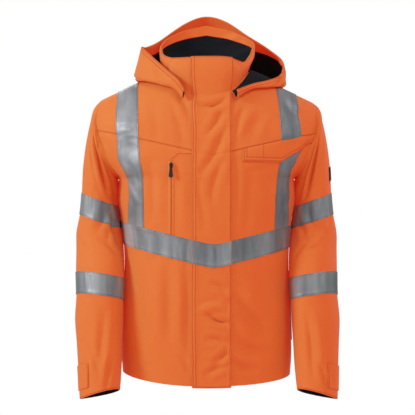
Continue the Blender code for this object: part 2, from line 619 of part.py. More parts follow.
def over_shoulder(x, over, lift):
    """A point over the shoulder, lift away from the cloth; over is in degrees, minus in front."""
    in_front = over < 0
    bend = FRONT_SHOULDER_POWER if in_front else BACK_SHOULDER_POWER
    turn = math.radians(abs(over))
    half, power = section(np.array(0.0), "half_width"), section(ARMPIT_Z, "squareness")
    across = max(1 - (abs(x) / half) ** power, 0) ** (1 / power)
    depth = float(section(ARMPIT_Z, "front_depth" if in_front else "back_depth")) * across + lift
    rise = float(ridge_height(x)) - ARMPIT_Z + lift * math.hypot(1, RIDGE_SLOPE)
    y = MID_Y + (-1 if in_front else 1) * depth * math.sin(turn) ** (2 / bend)
    return np.array((x, y, ARMPIT_Z + rise * math.cos(turn) ** (2 / bend)))


def over_of(x, z, in_front):
    """The angle over the shoulder of the torso's inner face at (x, z), minus in front."""
    climb = min((z - ARMPIT_Z) / (float(ridge_height(x)) - ARMPIT_Z), 1.0)
    bend = FRONT_SHOULDER_POWER if in_front else BACK_SHOULDER_POWER
    return (-1 if in_front else 1) * math.degrees(math.acos(climb ** (bend / 2)))


def hood_station(at):
    """The hood's section at a position along its stations: points from the neckline to its rim."""
    stations = np.arange(len(HOOD))
    read = {name: float(loop_curve(stations, column(HOOD, HOOD_COLUMNS, name), at)) for name in HOOD_COLUMNS}
    base, in_front = neck_point(read["angle"])
    base_over = over_of(base[0], base[2], in_front)
    span = math.dist(base, over_shoulder(read["fold_x"], read["fold_over"], HOOD_FOLD_LIFT))
    reach = min(HOOD_START / span, 0.5)
    floor = []
    fold_lift = HOOD_FOLD_LIFT + HOOD_BACK_LIFT * min(max(read["fold_over"] / 50, 0), 1)
    for k in range(HOOD_FLOOR_CELLS + 1):
        along = k / HOOD_FLOOR_CELLS
        lift = HOOD_LIFT + (fold_lift - HOOD_LIFT) * along if k else HOOD_SEAM_LIFT
        share = reach + (1 - reach) * along
        x = base[0] + (read["fold_x"] - base[0]) * share
        over = base_over + (read["fold_over"] - base_over) * share
        floor.append(over_shoulder(x, over, lift))
    rim = np.array((read["rim_x"], read["rim_y"], read["rim_z"]))
    outwards = unit(np.array((floor[-1][0], floor[-1][1] - HOOD_MIDDLE_Y, 0.0)))
    rise = np.array((0.0, 0.0, rim[2] - floor[-1][2]))
    first = floor[-1] + outwards * read["bulge"] * 1.2 - np.array((0, 0, HOOD_SAG * read["bulge"]))
    second = rim + outwards * read["bulge"] * 0.85 - rise * 0.35
    shares = np.arange(1, HOOD_WALL_CELLS + 1)[:, None] / HOOD_WALL_CELLS
    wall_points = ((1 - shares) ** 3 * floor[-1] + 3 * shares * (1 - shares) ** 2 * first
                   + 3 * shares**2 * (1 - shares) * second + shares**3 * rim)
    return np.concatenate([np.array(floor), wall_points])


def hood_panel():
    count = (len(HOOD) - 1) * HOOD_STEPS
    columns = np.array([hood_station(k / HOOD_STEPS) for k in range(count + 1)])
    points = columns.transpose(1, 0, 2)[:, ::-1]
    return Panel(points, grid_normals(points))


# --- pieces -----------------------------------------------------------------------------------
def build_torso(front, back, where):
    wearers_right = ("side_right", "zip_right")
    wearers_left = ("zip_left", "side_left")
    for side, (first, last) in (("right", wearers_right), ("left", wearers_left)):
        wall(f"front_{side}", *front.cut("hem", "yoke", first, last), 0, CLOTH, "orange", where,
             seams="high first last")
        wall(f"yoke_{side}", *front.cut("yoke", "top", first, last), 0, CLOTH, "orange", where,
             seams="low high " + ("last" if side == "right" else "first"))
    wall("back", *back.cut("hem", "yoke", "side_right", "side_left"), 0, CLOTH, "orange", where,
         seams="high first last")
    wall("back_yoke", *back.cut("yoke", "top", "side_right", "side_left"), 0, CLOTH, "orange", where,
         seams="low high")


def joined(low, high):
    """Two stacked grids with the same columns as one."""
    return np.concatenate([low[0], high[0]]), np.concatenate([low[1], high[1]])


def collar_part(collar, first, last):
    """The collar's grid above the neckline, between two named columns of the front."""
    count = collar.points.shape[1]
    start = index_of(FRONT_COLUMNS, "zip_left")
    around = [(index_of(FRONT_COLUMNS, first) - start + k) % count
              for k in range(index_of(FRONT_COLUMNS, last) - index_of(FRONT_COLUMNS, first) + 1)]
    return collar.points[1:, around], collar.normals[1:, around]


def build_front_closure(front, collar, where):
    """The storm flap and the zip under it both run from the hem to the top of the collar."""
    points, normals = joined(front.cut("hem", "top", "flap_free", "flap_sewn"),
                             collar_part(collar, "flap_free", "flap_sewn"))
    points[0, :, 2] -= FLAP_DROP
    wall("storm_flap", points, normals, CLOTH + GAP, FLAP, "orange", where)
    points, normals = joined(front.cut("hem", "top", "zip_right", "zip_left"),
                             collar_part(collar, "zip_right", "zip_left"))
    wall("front_zip", points, normals, 0, CLOTH, "black_zip", where, seams="first last")


def build_tapes(front, back, where):
    on_cloth, on_flap = CLOTH + GAP, CLOTH + GAP + FLAP + GAP
    for name, low, high, first, last in (
        ("brace_front_right", "band_top", "top", "brace_out_right", "brace_in_right"),
        ("brace_front_left_low", "band_top", "flap_low", "brace_in_left", "brace_out_left"),
        ("brace_front_left_high", "yoke", "top", "brace_in_left", "brace_out_left"),
    ):
        wall(name, *front.cut(low, high, first, last), on_cloth, TAPE, "tape", where, seams="low high")
    for side, first, last in (("right", "brace_out_right", "brace_in_right"),
                              ("left", "brace_in_left", "brace_out_left")):
        wall(f"brace_back_{side}", *back.cut("band_top", "top", first, last), on_cloth, TAPE, "tape", where,
             seams="low high")
    for name, first, last, start in (("band_right", "side_right", "flap_free", on_cloth),
                                     ("band_flap", "flap_free", "flap_sewn", on_flap),
                                     ("band_left", "flap_sewn", "side_left", on_cloth)):
        wall(name, *front.cut("band_low", "band_top", first, last), start, TAPE, "tape", where,
             seams="high first last")
    wall("band_back", *back.cut("band_low", "band_top", "side_right", "side_left"), on_cloth, TAPE,
         "tape", where, seams="high first last")


def build_pockets(front, where):
    """The chest pocket's flap, the chest zip's tape and the zips of the two side pockets."""
    points, normals = front.cut("flap_low", "yoke", "pocket", "side_left")
    points = inset(points, ("last",), POCKET_FLAP_SHORT)
    wall("pocket_flap", points, normals, CLOTH + GAP, FLAP, "orange", where, seams="low high")
    middle = index_of(FRONT_COLUMNS, "chest_zip")
    points, normals = front.cut("band_top", "flap_low", middle - 1, middle + 1)
    to_sides = unit(points[:, ::2] - points[:, 1:2]) * CHEST_ZIP_WIDTH / 2
    points = np.stack([points[:, 1] + to_sides[:, 0], points[:, 1], points[:, 1] + to_sides[:, 1]], axis=1)
    normals = np.repeat(normals[:, 1:2], 3, axis=1)
    wall("chest_zip", points, normals, CLOTH + GAP, TAPE, "black_zip", where, seams="low high", seam=GAP)
    end = index_of(FRONT_COLUMNS, "side_left")
    for side, first in (("right", 0), ("left", end - 1)):
        points, normals = front.cut("pocket_low", "pocket_high", first, first + 1)
        wall(f"side_zip_{side}", points, normals, CLOTH + GAP, TAPE, "black_zip", where)


def outline_prism(outline, half_depth):
    """A mesh from an outline in x and z, thick by twice half_depth along y."""
    mesh = bmesh.new()
    ends = [[mesh.verts.new((x, y, z)) for x, z in outline] for y in (-half_depth, half_depth)]
    mesh.faces.new(ends[0])
    mesh.faces.new(ends[1][::-1])
    for k, (here, behind) in enumerate(zip(*ends)):
        after = (k + 1) % len(outline)
        mesh.faces.new((here, behind, ends[1][after], ends[0][after]))
    bmesh.ops.recalc_face_normals(mesh, faces=mesh.faces)
    return mesh


def rectangle(x0, x1, z0, z1):
    return ((x0, z0), (x1, z0), (x1, z1), (x0, z1))


def joined_or_cut(first, second, operation, name):
    """The Boolean of two meshes."""
    things = []
    for part_name, mesh in ((name, first), (name + "_tool", second)):
        data = bpy.data.meshes.new(part_name)
        mesh.to_mesh(data)
        mesh.free()
        things.append(bpy.data.objects.new(part_name, data))
        bpy.context.scene.collection.objects.link(things[-1])
    change = things[0].modifiers.new("boolean", "BOOLEAN")
    change.operation, change.object, change.solver = operation, things[1], "EXACT"
    result = bpy.data.meshes.new_from_object(things[0].evaluated_get(bpy.context.evaluated_depsgraph_get()))
    for thing in things:
        bpy.data.objects.remove(thing, do_unlink=True)
    result.name = name
    return result


def zip_place():
    """The chest zip's pivot and its frame: along the hinge, out of the cloth, and up."""
    at = (CHEST_ZIP_X, PULL_PIVOT_Z)
    step = 0.004
    here, side, above = (np.array((x, float(torso_y(np.array(x), np.array(z), True)), z))
                         for x, z in (at, (at[0] + step, at[1]), (at[0], at[1] + step)))
    out = -unit(np.cross(above - here, side - here))
    across = unit(np.cross((0, 0, 1), out))
    stand = CLOTH + GAP + TAPE + SLIDER_LIFT + SLIDER_THICK + PIVOT_STAND
    return here + out * stand, across, out, np.cross(out, across)


def placed(mesh, pivot, across, out, up):
    """Takes a mesh from the zip's own frame, whose outward way is -y, to the jacket's."""
    for vertex in mesh.vertices:
        x, y, z = vertex.co
        vertex.co = pivot + across * x - out * y + up * z
    return mesh


def build_chest_slider(where):
    """The slider is fixed and has a bridge; the pull's top bar turns under it."""
    pivot, across, out, up = zip_place()
    half_w, half_h = SLIDER_WIDE / 2, SLIDER_HIGH / 2
    shoulder = half_w * 0.6
    outline = ((-shoulder, -half_h), (shoulder, -half_h), (half_w, half_h * 0.2), (half_w * 0.8, half_h),
               (-half_w * 0.8, half_h), (-half_w, half_h * 0.2))
    body = outline_prism(outline, SLIDER_THICK / 2)
    bmesh.ops.translate(body, verts=body.verts, vec=(0, PIVOT_STAND + SLIDER_THICK / 2, 0))
    inner_y, outer_y = -BRIDGE_CLEAR, -BRIDGE_CLEAR - BRIDGE_THICK
    foot_y = PIVOT_STAND + SLIDER_THICK / 2
    inner_z, outer_z = BRIDGE_HALF - BRIDGE_THICK, BRIDGE_HALF
    profile = ((foot_y, -outer_z), (outer_y * 0.6, -outer_z), (outer_y, -inner_z), (outer_y, inner_z),
               (outer_y * 0.6, outer_z), (foot_y, outer_z), (foot_y, inner_z), (inner_y, inner_z),
               (inner_y, -inner_z), (foot_y, -inner_z))
    bridge = outline_prism(profile, BRIDGE_WIDE / 2)
    for vertex in bridge.verts:
        vertex.co = (vertex.co.y, vertex.co.x, vertex.co.z)
    bmesh.ops.recalc_face_normals(bridge, faces=bridge.faces)
    slider = joined_or_cut(body, bridge, "UNION", "chest_zip_slider")
    new_object("chest_zip_slider", placed(slider, pivot, across, out, up), "dark_metal", where)
    bar = PULL_BAR / 2
    widest_z = PULL_WIDEST - PULL_LENGTH
    outline = ((-PULL_NARROW / 2, bar), (-PULL_NARROW / 2, -WINDOW_LOW), (-PULL_WIDE / 2, widest_z),
               (-PULL_WIDE * 0.4, -PULL_LENGTH), (PULL_WIDE * 0.4, -PULL_LENGTH),
               (PULL_WIDE / 2, widest_z), (PULL_NARROW / 2, -WINDOW_LOW), (PULL_NARROW / 2, bar))
    plate = outline_prism(outline, PULL_THICK / 2)
    window = outline_prism(rectangle(-WINDOW_HALF, WINDOW_HALF, -WINDOW_LOW, -bar), PULL_THICK)
    pull = joined_or_cut(plate, window, "DIFFERENCE", "chest_zip_pull")
    new_object("chest_zip_pull", placed(pull, pivot, across, out, up), "dark_metal", where)


def build_sleeve_label(sleeve, where):
    """A bare woven label on the outside of the left sleeve, in one cell of its loft."""
    corners, directions = (grid[LABEL_ROW : LABEL_ROW + 2, LABEL_COLUMN : LABEL_COLUMN + 2]
                           for grid in (sleeve.points, sleeve.normals))
    shares = np.linspace(*LABEL_SPAN, 3)[:, None, None]
    points, normals = (grid[:1] * (1 - shares) + grid[1:] * shares for grid in (corners, directions))
    wall("sleeve_label", points, normals, CLOTH + LABEL_LIFT, LABEL_THICK, "black_zip", where)


def build_sleeve(sleeve, side, where):
    wall(f"sleeve_{side}", sleeve.points, sleeve.normals, 0, CLOTH, "orange", where, closed=True)
    for name, row in (("upper", UPPER_BAND_ROW), ("lower", LOWER_BAND_ROW)):
        wall(f"sleeve_band_{name}_{side}", sleeve.points[row : row + 2], sleeve.normals[row : row + 2],
             CLOTH + GAP, TAPE, "tape", where, closed=True)
    lining = slice(CUFF_LINING_ROW, len(sleeve.points))
    wall(f"cuff_lining_{side}", sleeve.points[lining], sleeve.normals[lining], -LINING_GAP - FLEECE, FLEECE,
         "black_fleece", where, closed=True)
    count = sleeve.points.shape[1]
    reach = count // 7
    around = [k % count for k in range(1 - reach, reach + 2)]
    rows = slice(TAB_ROW, TAB_ROW + 2)
    wall(f"cuff_tab_{side}", sleeve.points[rows][:, around], sleeve.normals[rows][:, around], CLOTH + GAP,
         FLAP, "orange", where)


def build_collar(collar, where):
    """The collar's columns run from the zip's left edge round the back to its right edge."""
    points, normals = collar.points, collar.normals
    wall("collar", points, normals, 0, CLOTH, "orange", where, seams="first last")
    split = COLLAR_ROWS - FACING_ROWS
    lining, facing = inset(points[: split + 1], ("low",), LINING_START), points[split:]
    lining_normals = np.concatenate([normals[1:2], normals[1 : split + 1]])
    wall("collar_lining", lining, lining_normals, -LINING_GAP - FLEECE, FLEECE, "black_fleece", where,
         seams="high first last", seam=LINING_SEAM)
    wall("collar_facing", facing, normals[split:], -LINING_GAP - FLEECE, FLEECE, "orange", where,
         seams="low first last", seam=LINING_SEAM)


def build_hood(hood, where):
    points, normals = hood.points, hood.normals
    split = len(points) - 1 - HOOD_FACING_CELLS
    wall("hood", points, normals, 0, CLOTH, "orange", where)
    wall("hood_lining", points[: split + 1], normals[: split + 1], -LINING_GAP - FLEECE, FLEECE,
         "black_fleece", where, seams="high", seam=LINING_SEAM)
    wall("hood_facing", points[split:], normals[split:], -LINING_GAP - FLEECE, FLEECE,
         "orange", where, seams="low", seam=LINING_SEAM)


def make_materials():
    for name, (red, green, blue, roughness, metallic) in COLOURS.items():
        material = bpy.data.materials.new(name)
        material.use_nodes = True
        shader = material.node_tree.nodes["Principled BSDF"]
        shader.inputs["Base Color"].default_value = (red, green, blue, 1.0)
        shader.inputs["Roughness"].default_value = roughness
        shader.inputs["Metallic"].default_value = metallic
        material.diffuse_color = (red, green, blue, 1.0)


def main():
    for thing in list(bpy.data.objects):
        bpy.data.objects.remove(thing, do_unlink=True)
    make_materials()
    where = bpy.data.collections.new("hi_vis_work_jacket")
    bpy.context.scene.collection.children.link(where)
    front, back = torso_panels()
    build_torso(front, back, where)
    collar = collar_panel(front, back)
    build_collar(collar, where)
    build_front_closure(front, collar, where)
    build_tapes(front, back, where)
    build_pockets(front, where)
    build_chest_slider(where)
    left_sleeve = sleeve_panel(front, back, 1)
    build_sleeve(sleeve_panel(front, back, -1), "right", where)
    build_sleeve(left_sleeve, "left", where)
    build_sleeve_label(left_sleeve, where)
    build_hood(hood_panel(), where)


main()
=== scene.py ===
"""Looks of the hooded hi-vis work jacket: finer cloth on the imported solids' forms, its creases, seams,
stitches and zips, and the materials of every piece.

Metres, +Z up, in the part's own frame: the front faces -Y and the wearer's right is at -X.
"""

import math

import bmesh
import bpy
import numpy as np
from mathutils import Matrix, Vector


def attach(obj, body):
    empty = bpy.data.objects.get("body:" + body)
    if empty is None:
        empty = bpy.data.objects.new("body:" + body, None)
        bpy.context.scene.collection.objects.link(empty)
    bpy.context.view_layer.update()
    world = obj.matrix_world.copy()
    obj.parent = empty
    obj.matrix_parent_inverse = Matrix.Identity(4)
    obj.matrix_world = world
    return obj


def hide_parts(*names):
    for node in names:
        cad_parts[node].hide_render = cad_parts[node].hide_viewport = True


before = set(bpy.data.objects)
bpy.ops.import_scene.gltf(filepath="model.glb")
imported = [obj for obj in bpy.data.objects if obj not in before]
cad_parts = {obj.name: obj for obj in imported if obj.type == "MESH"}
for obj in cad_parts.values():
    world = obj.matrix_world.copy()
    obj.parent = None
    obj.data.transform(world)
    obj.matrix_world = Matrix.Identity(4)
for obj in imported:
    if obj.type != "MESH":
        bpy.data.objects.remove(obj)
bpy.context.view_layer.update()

# --- sizes of the cloth -----------------------------------------------------------------------
CLOTH = 0.0020  # shell fabric with its lining
TAPE = 0.0010  # reflective tape
FLAP = 0.0030  # the storm flap and pocket flap are doubled
FLEECE = 0.0016
GAP = 0.0003  # between neighbouring pieces
LINING_GAP, LINING_SEAM, LINING_START = 0.0005, 0.0008, 0.0035  # linings end short of their seams
TAPE_WIDTH = 0.050
FLAP_DROP = 0.003  # the storm flap hangs below the hem by this

# --- the torso --------------------------------------------------------------------------------
MID_Y = 0.005  # side seams and shoulder seams lie in this plane
ARMPIT_Z = -0.205
RIDGE_TOP, RIDGE_SLOPE, RIDGE_ROUND = 0.0994, 0.475, 0.06  # the shoulder line
LEFT_DROP, DROP_FROM_X, DROP_OVER = 0.005, 0.110, 0.075  # the left shoulder hangs lower towards its end
FRONT_SHOULDER_POWER, BACK_SHOULDER_POWER = 2.2, 2.6  # how square the profile over the shoulder is
NECK_HALF, NECK_FRONT_Z, NECK_BACK_Z = 0.095, -0.022, 0.055

# Level sections; above the armpit they run on as if through the sleeve head.
SECTION_COLUMNS = ("height", "half_width", "front_depth", "back_depth", "squareness")
SECTIONS = (
    (-0.690, 0.191, 0.126, 0.120, 2.45),
    (-0.600, 0.197, 0.133, 0.124, 2.40),
    (-0.500, 0.194, 0.139, 0.126, 2.35),
    (-0.400, 0.190, 0.143, 0.128, 2.30),
    (-0.300, 0.1975, 0.146, 0.134, 2.30),
    (-0.250, 0.2052, 0.145, 0.136, 2.36),
    (-0.205, 0.203, 0.144, 0.138, 2.45),
    (-0.190, 0.2155, 0.144, 0.138, 2.50),
    (-0.170, 0.231, 0.143, 0.138, 2.55),
    (-0.150, 0.2425, 0.143, 0.138, 2.60),
    (-0.130, 0.252, 0.142, 0.138, 2.60),
    (-0.100, 0.262, 0.142, 0.138, 2.60),
    (-0.070, 0.268, 0.142, 0.138, 2.60),
    (-0.045, 0.270, 0.142, 0.138, 2.60),
    (0.070, 0.272, 0.142, 0.138, 2.60),
)

# Height of each seam or tape edge in the middle, and how much it rises by the side seam.
HEM_Z, HEM_RISE, HEM_RISE_LEFT, SIDE_REACH = -0.668, 0.016, 0.009, 0.19
BAND_TOP_Z, BAND_SLOPE, BAND_LOW_X = -0.352, 0.245, 0.016  # the body band dips to a soft V in front
BAND_SOFT, BAND_SLANT, BACK_BAND_DIP = 0.012, 1.3, 0.012
YOKE_Z, YOKE_SLOPE, YOKE_SOFT = -0.156, 0.235, 0.012
BACK_YOKE_Z = -0.120
FLAP_LOW_Z, FLAP_TURN_X, FLAP_TURN_SLOPE = -0.169, 0.165, 0.64  # lower edge of the chest pocket's flap
BACK_FLAP_LOW_Z = -0.162  # the same row of the loft, behind

# Named lines that run up the front: x at heights, low to high.
FRONT_LINES = {
    "brace_out_right": ((-0.667, -0.175), (-0.300, -0.176), (-0.240, -0.173), (-0.193, -0.180),
                        (-0.160, -0.197), (0.0, -0.206)),
    "brace_in_right": ((-0.667, -0.138), (-0.300, -0.139), (-0.200, -0.141), (-0.160, -0.148),
                       (0.02, -0.157)),
    "chest_zip": ((-0.667, -0.077), (-0.165, -0.077), (-0.10, -0.084), (0.0, -0.095),
                  (0.05, -0.095)),
    "flap_free": ((-0.667, -0.031), (0.07, -0.031)),
    "zip_right": ((-0.667, 0.004), (0.07, 0.004)),
    "zip_left": ((-0.667, 0.018), (0.07, 0.018)),
    "flap_sewn": ((-0.667, 0.054), (0.07, 0.054)),
    "pocket": ((-0.667, 0.080), (-0.140, 0.080), (-0.08, 0.086), (0.0, 0.095), (0.05, 0.095)),
    "brace_in_left": ((-0.667, 0.148), (-0.300, 0.152), (-0.200, 0.158), (-0.170, 0.163),
                      (-0.118, 0.166), (0.02, 0.158)),
    "brace_out_left": ((-0.667, 0.184), (-0.300, 0.185), (-0.230, 0.186), (-0.191, 0.188),
                       (-0.167, 0.203), (-0.135, 0.216), (-0.110, 0.212), (0.0, 0.206)),
}
BACK_LINES = {
    "brace_out": ((-0.667, 0.166), (-0.300, 0.166), (-0.200, 0.172), (0.0, 0.206)),
    "brace_in": ((-0.667, 0.120), (-0.300, 0.120), (-0.160, 0.126), (0.02, 0.158)),
    "neck_side": ((-0.667, 0.062), (-0.200, 0.066), (0.0, 0.095), (0.05, 0.095)),
}
# The armhole's edge: x at heights.
ARMHOLE = ((-0.205, 0.203), (-0.190, 0.2085), (-0.170, 0.219), (-0.150, 0.2275), (-0.130, 0.235),
           (-0.100, 0.247), (-0.070, 0.2525), (-0.045, 0.250), (-0.015, 0.243), (0.05, 0.240))

# Cells of the loft between each named line and the next, and each named row and the next.
FRONT_COLUMNS = (("side_right", 24), ("brace_out_right", 12), ("brace_in_right", 18), ("chest_zip", 14),
                 ("flap_free", 10), ("zip_right", 4), ("zip_left", 10), ("flap_sewn", 8),
                 ("pocket", 20), ("brace_in_left", 12), ("brace_out_left", 24), ("side_left", 0))
BACK_COLUMNS = (("side_right", 24), ("brace_out_right", 12), ("brace_in_right", 18), ("neck_side_right", 22),
                ("middle", 22), ("neck_side_left", 18), ("brace_in_left", 12), ("brace_out_left", 24),
                ("side_left", 0))
ROWS = (("hem", 24), ("pocket_low", 42), ("pocket_high", 10), ("band_low", 16), ("band_top", 38),
        ("armpit", 10), ("flap_low", 8), ("yoke", 46), ("top", 0))
SIDE_POCKET_LOW_Z, SIDE_POCKET_HIGH_Z, POCKET_ROW_DIP = -0.580, -0.420, 0.030
SETTLE = 36  # rounds in which the loft's columns and rows settle on their named lines

# Long soft folds in the torso: x0, z0, x1, z1, depth (minus is a trough), half width.
FRONT_FOLDS = (
    (-0.200, -0.185, -0.164, -0.330, -0.0060, 0.013),
    (-0.150, -0.160, -0.150, -0.290, 0.0030, 0.012),
    (0.199, -0.180, 0.188, -0.320, -0.0060, 0.013),
    (0.165, -0.175, 0.172, -0.300, 0.0030, 0.012),
    (0.150, -0.420, 0.090, -0.620, -0.0035, 0.022),
    (-0.160, -0.440, -0.120, -0.640, -0.0030, 0.022),
)
BACK_FOLDS = (
    (-0.185, -0.190, -0.120, -0.330, -0.0060, 0.018),
    (0.185, -0.190, 0.120, -0.330, -0.0060, 0.018),
    (-0.060, -0.430, -0.075, -0.640, -0.0040, 0.022),
    (0.075, -0.420, 0.055, -0.640, -0.0040, 0.022),
)

# --- the sleeves ------------------------------------------------------------------------------
# Each ring: its outer and inner points (x, z), middle y, half depth, how far its front is tipped up
# and how far its front is turned to the body, in degrees.
RING_COLUMNS = ("outer_x", "outer_z", "inner_x", "inner_z", "middle_y", "half_depth", "tip", "turn")
SLEEVE_RINGS = (
    (0.2600, -0.0410, 0.2085, -0.1985, 0.006, 0.0700, 0, 0),
    (0.2720, -0.0750, 0.2078, -0.2055, 0.008, 0.0750, 0, 0),
    (0.2800, -0.1150, 0.2080, -0.2150, 0.009, 0.0790, 0, 0),
    (0.2873, -0.1740, 0.2090, -0.2380, 0.010, 0.0810, 0, 0),
    (0.2913, -0.2370, 0.2088, -0.2690, 0.012, 0.0800, 0, 1),  # upper band, top edge
    (0.2964, -0.2870, 0.2022, -0.3210, 0.012, 0.0780, 1, 2),  # upper band, lower edge
    (0.3040, -0.3300, 0.1978, -0.3550, 0.004, 0.0750, 3, 5),
    (0.3040, -0.3750, 0.1947, -0.3960, -0.014, 0.0730, 5, 10),
    (0.3002, -0.4200, 0.1936, -0.4380, -0.032, 0.0700, 7, 13),  # lower band, top edge
    (0.2970, -0.4700, 0.1942, -0.4860, -0.044, 0.0670, 9, 13),  # lower band, lower edge
    (0.2990, -0.5250, 0.1935, -0.5310, -0.055, 0.0635, 11, 11),
    (0.2940, -0.5790, 0.1940, -0.5790, -0.066, 0.0605, 12, 9),
    (0.2895, -0.6310, 0.1940, -0.6220, -0.076, 0.0570, 14, 8),  # cuff tab, top edge
    (0.2855, -0.6825, 0.1960, -0.6680, -0.085, 0.0550, 16, 7),  # cuff tab, lower edge
    (0.2840, -0.6990, 0.1970, -0.6820, -0.088, 0.0545, 17, 7),
)
UPPER_BAND_ROW, LOWER_BAND_ROW, TAB_ROW, CUFF_LINING_ROW = 5, 9, 13, 12
SLEEVE_SQUARENESS = 2.15
LEFT_SLEEVE_SWING, SWING_FROM_Z = 0.036, -0.42  # metres outwards for each metre down, from the forearm on
SLEEVE_SEAM = 0.0005
SHOULDER_FALL = -0.45  # how the sleeve leaves the shoulder: down for each metre out
ARMPIT_STEP = (1.8, 2.2)  # such gaps outwards and upwards between the sleeve and the top of the side seam
EVEN_FROM = 4.0  # from this ring on, the points round it are evenly spread
HEAD_BLEND = (0.35, 0.70, 0.90)  # how far the first rings have left the armhole's shape
# Sleeve folds: ring position, angle round from the outside to the front, depth, half widths.
SLEEVE_FOLDS = (
    (3.2, 100, -0.0050, 1.4, 22),
    (7.5, 130, 0.0040, 0.8, 30),
    (8.2, 20, -0.0035, 0.7, 40),
    (11.5, 80, -0.0030, 1.2, 25),
    (12.5, -100, -0.0040, 1.4, 30),
    (4.5, -100, -0.0050, 1.5, 25),
)

# --- the collar -------------------------------------------------------------------------------
# Top edge by the angle round the neck, 0 in front and plus to the wearer's left.
COLLAR_COLUMNS = ("angle", "x", "y", "z")
COLLAR_TOP = (
    (-180, 0.000, 0.089, 0.172), (-155, -0.050, 0.083, 0.160), (-128, -0.091, 0.056, 0.137),
    (-104, -0.106, 0.018, 0.113), (-82, -0.107, -0.020, 0.093), (-62, -0.097, -0.052, 0.078),
    (-45, -0.081, -0.076, 0.068), (-22, -0.040, -0.094, 0.066), (0, 0.000, -0.098, 0.066),
    (22, 0.040, -0.094, 0.066), (40, 0.066, -0.082, 0.063), (56, 0.083, -0.066, 0.058),
    (75, 0.105, -0.034, 0.088), (95, 0.113, 0.008, 0.110), (125, 0.096, 0.054, 0.136),
    (155, 0.050, 0.083, 0.160), (180, 0.000, 0.089, 0.172),
)
COLLAR_ROWS = 5  # the collar's seam is raised over its lowest share of this
COLLAR_BULGE, BULGE_BEND = 0.006, 1.5
# Its seam stands proud at the shoulders, from this far out and over this width.
COLLAR_RAISE, COLLAR_RAISE_X, COLLAR_RAISE_OVER = 0.0022, 0.055, 0.012
COLLAR_MIDDLE_Y = -0.012  # the angles turn about this

# --- the hood ---------------------------------------------------------------------------------
# Stations round the neck: angle there, the fold where the hood rests on the torso (its x, and how far
# over the shoulder it lies: 0 on the shoulder line, minus in front, 90 at the armpit's level), the
# free rim, and how far the wall stands out between them.
HOOD_COLUMNS = ("angle", "fold_x", "fold_over", "rim_x", "rim_y", "rim_z", "bulge")
HOOD = (
    (-30, -0.052, -52, -0.050, -0.121, -0.008, 0.004),
    (-40, -0.070, -44, -0.064, -0.114, 0.014, 0.006),
    (-56, -0.101, -36, -0.092, -0.083, 0.042, 0.010),
    (-73, -0.134, -25, -0.122, -0.047, 0.073, 0.010),
    (-90, -0.160, -9, -0.150, -0.010, 0.103, 0.008),
    (-108, -0.153, 26, -0.141, 0.030, 0.110, 0.019),
    (-128, -0.136, 52, -0.108, 0.068, 0.134, 0.050),
    (-153, -0.076, 68, -0.050, 0.100, 0.180, 0.075),
    (-180, 0.000, 74, -0.002, 0.113, 0.199, 0.086),
    (-207, 0.076, 68, 0.046, 0.106, 0.186, 0.075),
    (-232, 0.138, 52, 0.098, 0.092, 0.149, 0.050),
    (-252, 0.168, 26, 0.146, 0.060, 0.112, 0.022),
    (-270, 0.180, -8, 0.178, 0.002, 0.072, 0.006),
    (-285, 0.164, -21, 0.172, -0.036, 0.036, 0.006),
    (-302, 0.136, -32, 0.141, -0.066, 0.018, 0.006),
    (-317, 0.098, -41, 0.104, -0.094, 0.006, 0.005),
    (-325, 0.066, -51, 0.068, -0.121, -0.010, 0.004),
)
HOOD_MIDDLE_Y, HOOD_SAG = -0.02, 0.2  # its wall leans away from here, and sags by this share of its bulge
HOOD_OUT_LOW, HOOD_OUT_HIGH, HOOD_RIM_DROP = 1.2, 0.85, 0.35  # shares of the bulge twice, and of the rise
HOOD_SEAM_LIFT = 0.0056  # its seam beside the collar lies closest to the torso
HOOD_START, HOOD_LIFT, HOOD_FOLD_LIFT, HOOD_BACK_LIFT = 0.008, 0.0078, 0.0085, 0.0050

# --- trims, and the finer grids --------------------------------------------------------------
CHEST_ZIP_WIDTH = 0.006
POCKET_FLAP_SHORT = 0.004  # the flap ends this far from the armhole
LABEL_ROW, LABEL_SPAN = 4, (0.02, 0.52)
LABEL_LIFT, LABEL_THICK = 0.0008, 0.0010
COLLAR_CELLS, FACING_CELLS = 45, 9
HOOD_COLUMN_CELLS = 12  # cells between stations
HOOD_FINE_FLOOR, HOOD_FINE_WALL, HOOD_FINE_FACING, HOOD_ROUNDING = 16, 56, 8, 8
RING_PITCH = 0.0036  # between the sleeves' finer rings

